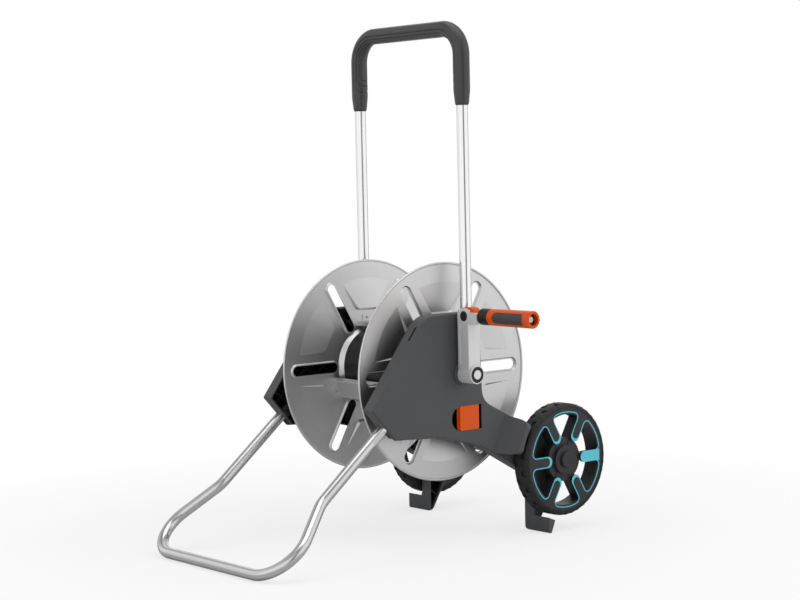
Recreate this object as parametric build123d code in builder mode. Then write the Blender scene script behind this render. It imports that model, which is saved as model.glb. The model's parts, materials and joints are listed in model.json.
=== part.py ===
from build123d import *
from math import acos, atan2, cos, hypot, radians, sin, tan
import os

os.makedirs("parts", exist_ok=True)

# A garden hose reel cart: a steel reel between two moulded side frames, which stand on two
# feet and a bent steel hoop, and roll on two wheels when the cart is tipped back.
# Millimetres. X is the reel's axis, with the crank at +X; the hoop points to -Y and the
# wheels to +Y; Z is up from the ground. Places named (y, z) are measured from the reel's axis.

# ---- driving sizes ----
RUN_GAP = 0.05          # radial clearance of everything that turns or slides on a shaft
FIT_GAP = 0.3           # clearance between neighbouring pieces
HOLE_GAP = 1.0          # clearance of a hole that only lets something pass
SEAT = 0.02             # clearance of a pressed seat

REEL_HEIGHT = 296.0     # reel axis above the ground
FLANGE_DIA = 380.0
REEL_WIDTH = 212.0      # over the rolled rims of both flanges
SHEET = 1.2             # flange sheet
BEAD_DIA = 4.0          # rolled rim
SLOT_COUNT = 6
SLOT_WIDTH = 17.5
SLOT_INNER_R = 72.0
SLOT_OUTER_R = 171.0
LIP_WIDTH = 4.5         # drawn edge round each slot
LIP_DEPTH = 3.0
PANEL_INNER_R = 98.0
PANEL_OUTER_R = 169.0
PANEL_INNER_HALF = 24.5
PANEL_OUTER_HALF = 60.5
PANEL_DEPTH = 7.0
PANEL_CORNER_R = 12.0
PANEL_TAPER = 35.0
DISH_OUTER_R = 67.0     # where the flange starts to dish towards the drum
DISH_INNER_R = 56.0
DISH_DEPTH = 14.0
FLANGE_BORE_R = 30.0

BAR_COUNT = 3
BAR_R = 80.0            # outside of the tie bars
BAR_WIDTH = 38.0
BAR_LIP = 9.0
BAR_SHEET = 1.5
TAB_HEIGHT = 11.0
TAB_WIDTH = 20.0
CORE_R = 66.0
CORE_WALL = 3.0
CORE_SLEEVE_WALL = 3.5
PAD_WIDTH = 30.0
HUB_PLATE = 5.0
HUB_PLATE_R = 54.0
HUB_BOSS_R = 15.0
HUB_SCREW_R = 43.0
SHAFT_DIA = 18.0
WATER_BORE = 10.0

SHELL_OUTER_X = 153.0   # outer face of a side frame, from the reel's mid-plane
SHELL_DEPTH = 24.0
SHELL_WALL = 2.4
SHELL_EDGE_R = 3.0
LINER_WEB = 2.2
LINER_RIB = 2.0
LINER_SETBACK = 4.0     # liner ribs end this far inside the shell's rim
RIB_PITCH = 24.0
NOSE = (-201.0, -46.0)          # front corner of the side frame
BROW = (-84.0, 104.0)           # where the sloping front edge meets the top edge
CROWN = (42.0, 104.0)           # rear top corner
WAIST = (47.0, -51.0)           # inner corner above the axle arm
CHIN = (-152.0, -100.0)         # lower front corner, behind the hoop's socket
BELLY = (-52.0, -106.0)
ARM_ROOT = (39.0, -129.0)       # where the lower edge turns down along the axle arm
BROW_R = 50.0
CROWN_R = 14.0
WAIST_R = 34.0
BOSS_HEIGHT = 4.0       # round boss behind the crank
BOSS_R = 20.0

AXLE = (214.0, -170.0)          # wheel axle
AXLE_DIA = 12.0
AXLE_EYE_R = 30.0               # rounded end of the axle arm
WHEEL_DIA = 200.0
WHEEL_WIDTH = 34.0
WHEEL_GAP = 1.0                 # between a wheel and its side frame
TREAD_DEPTH = 2.5
TREAD_COUNT = 20
SHOULDER = 8.0
RIM_R = 84.0                    # inner edge of the wheel's outer face
HUB_R = 17.0
WHEEL_HUB_R = 26.0
SPOKES = 6
SPOKE_WIDTH = 20.0
SPOKE_TIP_R = 36.0
WEB_WIDTH = 11.0                # set-back spoke behind each face spoke
FACE_DEPTH = 5.0
TRIM_WIDTH = 1.8
WINDOW_CORNER_R = 8.0
TRIM_PROUD = 0.4
CAP_R = 14.0
CAP_HEIGHT = 4.0

KNEE_Z = -200.0                 # where the axle arm's lower edge meets the leg
LEG_FRONT = 166.0               # y of the foot's front face
FOOT_BOTTOM = 6.0               # depth of the foot where it stands
FOOT_TOP = 20.0                 # depth of the foot's lip at its top
FOOT_REACH = 37.0               # the lip reaches this far out under the wheel
LIP_TOP = 33.0                  # height of the lip above the ground
FOOT_CORNER_R = 8.0
TOE_R = 3.0                     # rounding of the foot's lower front edge

FENDER_TOP = (99.0, -81.0)      # ends of the crease where the fender leaves the side face
FENDER_FOOT = (70.0, -143.0)
FENDER_REACH = 35.0             # how far the fender flares out in front of the wheel
FENDER_SWEEP = 27.0             # and how far it runs back over that reach
FENDER_DROOP = 16.0             # fall of the fender's lower edge towards the wheel
FENDER_ROOT = 20.0
FENDER_WALL = 2.6
FENDER_CORNER_R = 11.0
WHEEL_ROOM = 9.0                # radial room kept round the tyre

HOOP_TUBE = 19.0
HOOP_WALL = 1.2
HOOP_X = 141.0                  # straight legs of the hoop, from the mid-plane
HOOP_ENTRY = (-170.0, -80.0)    # where a leg leaves the side frame
HOOP_SLOPE = 38.9               # degrees below level
HOOP_STRAIGHT = 172.0           # from the frame to the bend where the legs splay
HOOP_HALF = 213.5               # half length of the base bar, at its sharp corners
HOOP_IN = 52.0                  # length held in the frame
HOOP_BEND = 60.0
HOOP_KINK_R = 45.0
HOOP_FLAT_START = 5.0           # pressed flat on a leg, outside the frame
HOOP_FLAT_LENGTH = 30.0
HOOP_FLAT_WIDTH = 9.0
HOOP_FLAT_DEPTH = 0.8
SOCKET_CUT_R = 20.0             # the shell's rim is cut away round the chin, below the leg

HANDLE_TUBE = 20.0
HANDLE_WALL = 1.4
HANDLE_X = 138.0
HANDLE_Y = 25.0
HANDLE_TOP = 590.0              # centre of the crossbar above the reel axis
HANDLE_FOOT = -104.0            # lower end of the tubes
HANDLE_BEND = 46.0
HANDLE_TRAVEL = 180.0
GRIP_DIA = 29.0
GRIP_FOOT = 458.0               # lower end of the handle's grip
GRIP_TAPER = 26.0
COLLAR_HEIGHT = 14.0
COLLAR_WALL = 2.0
PLUG_HEIGHT = 16.0

LATCH_Z = -77.5
LATCH_HEIGHT = 43.0
LATCH_LENGTH = 44.0
LATCH_BACK = 36.0               # y of the latch's rear edge
LATCH_TRAVEL = 6.0
LATCH_WINDOW = 69.0
LATCH_STOP_GAP = 1.0            # left behind the latch at the end of its travel
LATCH_PROUD = 1.0
LATCH_HOLE_R = 4.5

CRANK_REACH = 100.0             # shaft to grip hinge
ARM_WIDTH = 26.6
ARM_DEPTH = 27.0
ARM_GAP = 1.0                   # between the crank arm and the frame's boss
HUB_TURRET_R = 15.6
HUB_TURRET = 6.0
CRANK_RING_R = 13.8
CRANK_CAP_R = 8.2
CRANK_BOLT_R = 3.0
CRANK_BOLT_LENGTH = 18.0
CRANK_BOLT_HEAD = 3.0
DRIVE_HEX = 13.0                # across flats
KNUCKLE_WIDTH = 15.0
KNUCKLE_R = 15.0
KNUCKLE_REACH = 8.0             # how far the knuckle's crown runs out from the hinge
FORK_DEPTH = 32.5               # hinge to the fork's outer end
FORK_TOP = 6.5                  # hinge to the top of the fork's cheeks
FORK_CORNER_R = 4.0
PIN_DIA = 7.0
PIN_HEAD_DIA = 17.6
PIN_HEAD = 2.0
SPINDLE_DIA = 10.0
GRIP_START = 35.0               # from the hinge pin to the collar
SLEEVE_START = 56.0
SLEEVE_LENGTH = 100.0
SLEEVE_DIA = 29.0
COLLAR_DIA = 28.0
INLAY_LENGTH = 73.0
INLAY_WIDTH = 19.0
INLAY_START = 14.0              # sleeve's inner end to the inlay
INLAY_CORNER_R = 4.0
END_HOLE_DIA = 20.0

BUSH_WALL = 2.6
BUSH_FLANGE = 2.0
BUSH_FLANGE_R = 14.0
BEARING_WALL = 2.0
SCREW_R = 1.9
SCREW_HOLE_GAP = 0.3
SCREW_HEAD_R = 4.0
SCREW_HEAD = 2.4
SCREW_BOSS_R = 4.6
SCREW_LENGTH = 14.0
OUTLET_PIPE_R = 7.0
OUTLET_LENGTH = 20.0
OUTLET_ANGLE = 30.0             # degrees above level, towards the wheels
INLET_DIA = 34.0
INLET_REACH = 20.0
NIPPLE_DIA = 17.0
NIPPLE_LENGTH = 24.0
NIPPLE_BORE = 9.0
INLET_DROP = 38.0               # elbow centre to the nipple's shoulder
INLET_LEAN = 35.0               # degrees forward of straight down

SNAP_PLACES = (((-106.6, 75.1), 51.9), ((9.0, -123.0), -17.0))      # (y, z) and turn
SNAP_LENGTH = 28.0
SNAP_WIDTH = 5.0
SCREW_PLACES = ((-72.0, 78.0), (-60.0, -78.0), (92.0, -108.0), (178.0, -210.0))
POST_R = 4.4
POST_HEIGHT = 7.0
BOSS_DROP = 3.0                 # screw bosses stop this far below the liner's ribs
AXLE_BOSS_WALL = 4.0
SOCKET_WALL = 2.4
HOOP_BOLT_IN = 26.0             # bolt through a hoop leg, inside the frame
RIB_TURN = 52.0
RIB_COUNT = 23
LATCH_LIP = 3.0
LATCH_ROOM = 4.0
COLLAR_RISE = 3.0
ARM_POCKET = 1.5                # depth of the pockets in the sides of the crank arm
ARM_POCKET_RIM = 3.5
NECK_HALF = 7.5                 # half height of the knuckle's neck
TURRET_RING = 3.0
SLEEVE_FLARE = 0.4              # degrees the grip sleeve widens outwards
INLAY_DEPTH = 5.0
CLIP_R = 9.5
WHEEL_PLATE_R = 39.0
AXLE_NUT_R = 10.0
AXLE_NUT = 3.0
CAP_RECESS = 12.0
TYRE_R = 91.0
GROOVE_WIDTH = 9.0

# ---- places worked out from the sizes ----
crank_face = SHELL_OUTER_X + BOSS_HEIGHT + ARM_GAP
hinge_x = crank_face + ARM_DEPTH * 0.57
sleeve_x = hinge_x + SLEEVE_START
crank_end = sleeve_x + SLEEVE_LENGTH
shell_inner_x = SHELL_OUTER_X - SHELL_DEPTH
liner_x = SHELL_OUTER_X - SHELL_WALL
wheel_inner = SHELL_OUTER_X + WHEEL_GAP
wheel_outer = wheel_inner + WHEEL_WIDTH
cap_outer = wheel_outer + CAP_HEIGHT
disc_x = REEL_WIDTH / 2 - BEAD_DIA / 2          # outer face of a flange's flat
plate_x = disc_x - DISH_DEPTH                   # outer face of its dished centre
ground = -REEL_HEIGHT
bush_x = shell_inner_x - BUSH_FLANGE - FIT_GAP  # inner end of the bearing bush
TAB_HOLE_R = SCREW_R + SCREW_HOLE_GAP
outlet_way = (0, cos(radians(OUTLET_ANGLE)), sin(radians(OUTLET_ANGLE)))

collar_r = HANDLE_TUBE / 2 + FIT_GAP + COLLAR_WALL
window_back = LATCH_BACK + LATCH_TRAVEL + LATCH_STOP_GAP
bush_r = SHAFT_DIA / 2 + RUN_GAP + BUSH_WALL
boss_top = shell_inner_x + LINER_SETBACK + BOSS_DROP

slope = radians(HOOP_SLOPE)
bolt_place = (HOOP_ENTRY[0] + HOOP_BOLT_IN * cos(slope), HOOP_ENTRY[1] + HOOP_BOLT_IN * sin(slope))
hoop_length = (REEL_HEIGHT + HOOP_ENTRY[1] - HOOP_TUBE / 2) / sin(slope)
hoop_splay = atan2(HOOP_HALF - HOOP_X, hoop_length - HOOP_STRAIGHT)
hoop_turn = (radians(90) + hoop_splay) / 2
hoop_corner = HOOP_BEND * (tan(hoop_turn) * sin(hoop_splay) - 1 + cos(hoop_splay))
hoop_side = HOOP_HALF - hoop_corner + HOOP_TUBE / 2
hoop_front = HOOP_ENTRY[0] - hoop_length * cos(slope) - HOOP_TUBE / 2
cart_back = AXLE[0] + WHEEL_DIA / 2

# the model's origin is on the ground, in the middle of the cart's footprint
mid_x = (max(hoop_side, cap_outer) - crank_end) / 2
axis_y = -(hoop_front + cart_back) / 2
REEL = Vector(mid_x, axis_y, REEL_HEIGHT)
REEL_AXIS = Axis(REEL, (1, 0, 0))
MIDDLE = Plane(origin=REEL, x_dir=(0, 1, 0), z_dir=(1, 0, 0))
OUTLET = Plane(origin=REEL, x_dir=(1, 0, 0), z_dir=outlet_way)
AXIAL = Plane(origin=REEL, x_dir=(1, 0, 0), z_dir=(0, -1, 0))


def side(x, place=(0.0, 0.0)):
    """Plane facing +X at x from the reel's mid-plane, with its origin at a (y, z) place."""
    return Plane(origin=REEL + Vector(x, place[0], place[1]), x_dir=(0, 1, 0), z_dir=(1, 0, 0))


def level(z, place=(0.0, 0.0)):
    """Plane facing up at z from the reel's axis, with its origin at an (x, y) place."""
    return Plane(origin=REEL + Vector(place[0], place[1], z), x_dir=(1, 0, 0), z_dir=(0, 0, 1))


def facing_back(y, place=(0.0, 0.0)):
    """Plane facing +Y at y from the reel's axis, with its origin at an (x, z) place."""
    return Plane(origin=REEL + Vector(place[0], y, place[1]), x_dir=(-1, 0, 0), z_dir=(0, 1, 0))


def mirrored(builder):
    """The same piece on the other side of the reel."""
    with BuildPart() as other:
        add(mirror(builder.part, about=MIDDLE, mode=Mode.PRIVATE))
    return other


# ---- reel: flanges ----
inner_x = disc_x - SHEET
panel_side = PANEL_OUTER_R * 0.93               # height of the panel's straight sides


def pressed_panel(inset, face_x, depth):
    """Trapezoid form pressed into the flange above the axis, deepest towards the hub."""
    inner_half = PANEL_INNER_HALF - inset
    outer_half = PANEL_OUTER_HALF - inset
    foot = PANEL_INNER_R + inset
    crest = PANEL_OUTER_R - inset
    with BuildPart() as form:
        with BuildSketch(side(face_x)) as trapezoid:
            with BuildLine():
                Line((-inner_half, foot), (-outer_half, panel_side))
                ThreePointArc((-outer_half, panel_side), (0, crest), (outer_half, panel_side))
                Line((outer_half, panel_side), (inner_half, foot))
                Line((inner_half, foot), (-inner_half, foot))
            make_face()
            fillet(trapezoid.vertices(), radius=PANEL_CORNER_R - inset)
        extrude(amount=-PANEL_DEPTH - SHEET, taper=PANEL_TAPER)
        # conical floor, level with the flange at the panel's outer edge
        fall = depth / (crest - foot)
        with BuildSketch(AXIAL):
            with BuildLine():
                Polyline((face_x + fall * foot, crest + foot), (face_x - fall * (crest - BAR_R), BAR_R),
                         (face_x + fall * foot, BAR_R), close=True)
            make_face()
        revolve(axis=REEL_AXIS, mode=Mode.INTERSECT)
    return form.part


panel_form = pressed_panel(0, disc_x, PANEL_DEPTH)
panel_hollow = pressed_panel(SHEET, disc_x + SHEET, PANEL_DEPTH)

with BuildPart() as flange_right:
    with BuildSketch(AXIAL):
        with BuildLine():
            rim_r = FLANGE_DIA / 2 - BEAD_DIA / 2
            Polyline((disc_x, rim_r), (disc_x, DISH_OUTER_R), (plate_x, DISH_INNER_R),
                     (plate_x, FLANGE_BORE_R), (plate_x - SHEET, FLANGE_BORE_R),
                     (plate_x - SHEET, DISH_INNER_R + SHEET / 2),
                     (inner_x, DISH_OUTER_R + SHEET / 2), (inner_x, rim_r), close=True)
        make_face()
        with Locations((disc_x, rim_r)):
            Circle(BEAD_DIA / 2)
    revolve(axis=REEL_AXIS)
    slot_span = SLOT_OUTER_R - SLOT_INNER_R - SLOT_WIDTH
    slot_middle = (SLOT_OUTER_R + SLOT_INNER_R) / 2
    with BuildSketch(side(disc_x)):
        with PolarLocations(slot_middle, SLOT_COUNT):
            SlotCenterToCenter(slot_span, SLOT_WIDTH + 2 * LIP_WIDTH)
    extrude(amount=-LIP_DEPTH - SHEET, taper=35)
    for turn in range(SLOT_COUNT):
        add(panel_form.rotate(REEL_AXIS, (turn + 0.5) * 360 / SLOT_COUNT - 90))
    for turn in range(SLOT_COUNT):
        add(panel_hollow.rotate(REEL_AXIS, (turn + 0.5) * 360 / SLOT_COUNT - 90), mode=Mode.SUBTRACT)
    with BuildSketch(side(disc_x)):
        with PolarLocations(slot_middle, SLOT_COUNT):
            SlotCenterToCenter(slot_span, SLOT_WIDTH + 2 * LIP_WIDTH - SHEET)
    extrude(amount=-LIP_DEPTH, taper=35, mode=Mode.SUBTRACT)
    with BuildSketch(side(disc_x)):
        with PolarLocations(slot_middle, SLOT_COUNT):
            SlotCenterToCenter(slot_span, SLOT_WIDTH)
    extrude(amount=-LIP_DEPTH - 2 * SHEET, mode=Mode.SUBTRACT)
    with BuildSketch(side(disc_x)):
        with PolarLocations(BAR_R + TAB_HEIGHT / 2, BAR_COUNT, start_angle=90):
            Circle(TAB_HOLE_R)
    extrude(amount=-SHEET, mode=Mode.SUBTRACT)
    with BuildSketch(side(plate_x)):
        with PolarLocations(HUB_SCREW_R, SLOT_COUNT):
            Circle(TAB_HOLE_R)
    extrude(amount=-SHEET, mode=Mode.SUBTRACT)

flange_left = mirrored(flange_right)

# ---- reel: tie bars, core, hubs and shaft ----
with BuildPart() as tie_bar_top:
    with BuildSketch(side(-inner_x, (0, BAR_R))):
        with Locations((0, -BAR_LIP / 2)):
            Rectangle(BAR_WIDTH, BAR_LIP)
        with Locations((0, -BAR_LIP / 2 - BAR_SHEET / 2)):
            Rectangle(BAR_WIDTH - 2 * BAR_SHEET, BAR_LIP - BAR_SHEET, mode=Mode.SUBTRACT)
    extrude(amount=2 * inner_x)
    fillet(tie_bar_top.edges().filter_by(Axis.X).group_by(Axis.Z)[-1], radius=BAR_SHEET)
    for end in (-1, 1):
        with BuildSketch(side(end * inner_x, (0, BAR_R))):
            with Locations((0, (TAB_HEIGHT - BAR_SHEET) / 2)):
                Rectangle(TAB_WIDTH, TAB_HEIGHT + BAR_SHEET)
            with Locations((0, TAB_HEIGHT / 2)):
                Circle(TAB_HOLE_R, mode=Mode.SUBTRACT)
        extrude(amount=-end * BAR_SHEET)

with BuildPart() as tie_bar_front:
    add(tie_bar_top.part.rotate(REEL_AXIS, 360 / BAR_COUNT))
with BuildPart() as tie_bar_rear:
    add(tie_bar_top.part.rotate(REEL_AXIS, -360 / BAR_COUNT))

core_end = plate_x - SHEET
shaft_r = SHAFT_DIA / 2
with BuildPart() as drum_core:
    with BuildSketch(side(-core_end)):
        Circle(CORE_R)
        with PolarLocations(0, BAR_COUNT, start_angle=90):
            with Locations(((CORE_R + BAR_R - BAR_SHEET) / 2 - CORE_WALL / 2, 0)):
                Rectangle(BAR_R - BAR_SHEET - CORE_R + CORE_WALL, PAD_WIDTH)
        Circle(CORE_R - CORE_WALL, mode=Mode.SUBTRACT)
        with PolarLocations(0, BAR_COUNT, start_angle=90):
            with Locations(((CORE_R + BAR_R - BAR_SHEET) / 2, 0)):
                Rectangle(BAR_R - BAR_SHEET - CORE_R - 2 * CORE_WALL, PAD_WIDTH - 2 * CORE_WALL,
                          mode=Mode.SUBTRACT)
        Circle(shaft_r + SEAT + CORE_SLEEVE_WALL)
        with PolarLocations(0, SLOT_COUNT):
            with Locations((CORE_R / 2, 0)):
                Rectangle(CORE_R - CORE_WALL, CORE_WALL)
        with PolarLocations(HUB_SCREW_R, SLOT_COUNT):
            Circle(SCREW_BOSS_R)
            Circle(SCREW_R, mode=Mode.SUBTRACT)
        Circle(shaft_r + SEAT, mode=Mode.SUBTRACT)
    extrude(amount=2 * core_end)
    with BuildSketch(OUTLET):
        Circle(OUTLET_PIPE_R + SEAT)
    extrude(amount=CORE_R + CORE_WALL, mode=Mode.SUBTRACT)

with BuildPart() as hub_right:
    with BuildSketch(side(plate_x)):
        Circle(HUB_PLATE_R)
        with PolarLocations(HUB_SCREW_R, SLOT_COUNT):
            Circle(TAB_HOLE_R, mode=Mode.SUBTRACT)
    extrude(amount=HUB_PLATE)
    fillet(hub_right.edges().filter_by(GeomType.CIRCLE).sort_by(SortBy.RADIUS)[-1], radius=2)
    with BuildSketch(side(plate_x)):
        Circle(HUB_BOSS_R)
    extrude(amount=bush_x - FIT_GAP - plate_x)
    with BuildSketch(side(plate_x)):
        with PolarLocations((HUB_BOSS_R + HUB_SCREW_R) / 2, SLOT_COUNT, start_angle=180 / SLOT_COUNT):
            Rectangle(HUB_SCREW_R - HUB_BOSS_R + 4, CORE_WALL)
    extrude(amount=HUB_PLATE * 2.2)
    with BuildSketch(side(plate_x - SHEET)):
        Circle(FLANGE_BORE_R - FIT_GAP)
    extrude(amount=SHEET)
    with BuildSketch(side(plate_x - SHEET)):
        Circle(shaft_r + SEAT)
    extrude(amount=REEL_WIDTH, mode=Mode.SUBTRACT)

hub_left = mirrored(hub_right)

spigot_r = WATER_BORE / 2 - RUN_GAP
with BuildPart() as reel_shaft:
    with BuildSketch(side(-liner_x)):
        Circle(shaft_r)
    extrude(amount=liner_x + crank_face)
    with BuildSketch(side(crank_face)):
        RegularPolygon(DRIVE_HEX / 2, 6, major_radius=False)
    extrude(amount=ARM_DEPTH)
    with BuildSketch(side(-liner_x)):
        Circle(WATER_BORE / 2)
    extrude(amount=liner_x + WATER_BORE, mode=Mode.SUBTRACT)
    with BuildSketch(OUTLET):
        Circle(OUTLET_PIPE_R - 2 * SHEET)
    extrude(amount=shaft_r, mode=Mode.SUBTRACT)
    with BuildSketch(side(crank_face + ARM_DEPTH)):
        Circle(CRANK_BOLT_R + SEAT)
    extrude(amount=-CRANK_BOLT_LENGTH, mode=Mode.SUBTRACT)

with BuildPart() as hose_outlet:
    with BuildSketch(OUTLET.offset(shaft_r + SEAT)):
        Circle(OUTLET_PIPE_R)
    extrude(amount=CORE_R - shaft_r + 1)
    with BuildSketch(OUTLET.offset(CORE_R + FIT_GAP)):
        Circle(OUTLET_PIPE_R + 3)
    extrude(amount=4)
    with BuildSketch(OUTLET.offset(CORE_R + 4)):
        Circle(NIPPLE_DIA / 2)
    extrude(amount=OUTLET_LENGTH)
    with BuildSketch(OUTLET):
        Circle(NIPPLE_BORE / 2)
    extrude(amount=CORE_R + OUTLET_LENGTH * 2, mode=Mode.SUBTRACT)


def screw(plane, length, head_r=SCREW_HEAD_R, head=SCREW_HEAD, shank_r=SCREW_R):
    """A pan head screw whose head stands on the plane and whose shank goes through it."""
    with BuildPart() as fastener:
        with BuildSketch(plane):
            Circle(head_r)
        extrude(amount=head)
        with BuildSketch(plane):
            Circle(shank_r)
        extrude(amount=-length)
        with BuildSketch(plane.offset(head)):
            Circle(head_r * 0.45)
        extrude(amount=-head * 0.5, mode=Mode.SUBTRACT)
    return fastener.part


with BuildPart() as tab_screws:
    for bar in range(BAR_COUNT):
        angle = radians(90 + bar * 360 / BAR_COUNT)
        tab_r = BAR_R + TAB_HEIGHT / 2
        add(screw(side(disc_x, (cos(angle) * tab_r, sin(angle) * tab_r)), SHEET + BAR_SHEET + 4))
    mirror(about=MIDDLE)

with BuildPart() as hub_screws:
    with BuildSketch(side(plate_x + HUB_PLATE)):
        with PolarLocations(HUB_SCREW_R, SLOT_COUNT):
            Circle(SCREW_HEAD_R)
    extrude(amount=SCREW_HEAD)
    with BuildSketch(side(plate_x + HUB_PLATE)):
        with PolarLocations(HUB_SCREW_R, SLOT_COUNT):
            Circle(SCREW_R - SEAT)
    extrude(amount=-SCREW_LENGTH)
    mirror(about=MIDDLE)

# ---- side frames ----
HEEL = (LEG_FRONT + FOOT_BOTTOM, ground)
TOE = (LEG_FRONT, ground)
KNEE = (LEG_FRONT, KNEE_Z)


def touch_point(place, turn):
    """Where a line from a (y, z) place touches the axle eye, on the side given by turn."""
    dy = place[0] - AXLE[0]
    dz = place[1] - AXLE[1]
    spread = turn * acos(AXLE_EYE_R / hypot(dy, dz))
    angle = atan2(dz, dy) + spread
    return (AXLE[0] + AXLE_EYE_R * cos(angle), AXLE[1] + AXLE_EYE_R * sin(angle))


eye_top = touch_point(WAIST, -1)
eye_back = touch_point(HEEL, 1)
eye_far = (AXLE[0] + AXLE_EYE_R * cos(radians(35)), AXLE[1] + AXLE_EYE_R * sin(radians(35)))


def frame_outline(inset):
    """The side frame seen from the crank's side, as a face on local (y, z)."""
    with BuildSketch() as outline:
        with BuildLine():
            Polyline(eye_back, HEEL, TOE, KNEE, ARM_ROOT, BELLY, CHIN, NOSE, BROW, CROWN, WAIST,
                     eye_top)
            ThreePointArc(eye_top, eye_far, eye_back)
        make_face()
        for place, radius in ((BROW, BROW_R), (CROWN, CROWN_R), (WAIST, WAIST_R), (KNEE, 12),
                              (BELLY, 60), (ARM_ROOT, 40), (CHIN, 5), (NOSE, 3), (TOE, TOE_R)):
            fillet(outline.vertices().sort_by_distance(Vector(*place))[0], radius=radius)
        if inset:
            offset(amount=-inset, mode=Mode.REPLACE)
    return outline.sketch


hoop_way = (0, -cos(slope), -sin(slope))


def hoop_leg_plane(along):
    """Plane square to a hoop leg, a length along it from where it leaves the frame."""
    foot = Vector(HOOP_X, HOOP_ENTRY[0] - along * cos(slope), HOOP_ENTRY[1] - along * sin(slope))
    return Plane(origin=REEL + foot, x_dir=(1, 0, 0), z_dir=hoop_way)


crease_top = Vector(SHELL_OUTER_X, *FENDER_TOP)
crease_foot = Vector(SHELL_OUTER_X, *FENDER_FOOT)
crease = crease_foot - crease_top
flare = Vector(FENDER_REACH, FENDER_SWEEP, 0) + crease * 0.17
fender_normal = crease.cross(flare).normalized()
arm_fall = (eye_top[1] - WAIST[1]) / (eye_top[0] - WAIST[0])


def fender_form(inset):
    """Solid under the fender's flared face, less a skin of the given inset."""
    top_y, top_z = FENDER_TOP
    foot_y, foot_z = FENDER_FOOT
    run = AXLE[0] - top_y
    with BuildPart() as form:
        with BuildSketch(side(SHELL_OUTER_X - (SHELL_WALL / 2 if not inset else 0))):
            with BuildLine():
                Polyline((top_y - FENDER_ROOT, top_z - FENDER_ROOT * arm_fall - inset),
                         (top_y + run, top_z + run * arm_fall - inset),
                         (foot_y + run, foot_z - FENDER_DROOP + inset),
                         (foot_y - FENDER_ROOT, foot_z + inset), close=True)
            make_face()
        extrude(amount=FENDER_REACH + SHELL_WALL)
        split(bisect_by=Plane(origin=REEL + crease_top - fender_normal * inset,
                              z_dir=fender_normal), keep=Keep.BOTTOM)
        split(bisect_by=side(SHELL_OUTER_X + FENDER_REACH - inset), keep=Keep.BOTTOM)
        outer_edges = form.faces().sort_by(Axis.X)[-1].edges().sort_by(Axis.Z)
        fillet([outer_edges[0], outer_edges[-1]], radius=FENDER_CORNER_R - inset)
    return form.part


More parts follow.
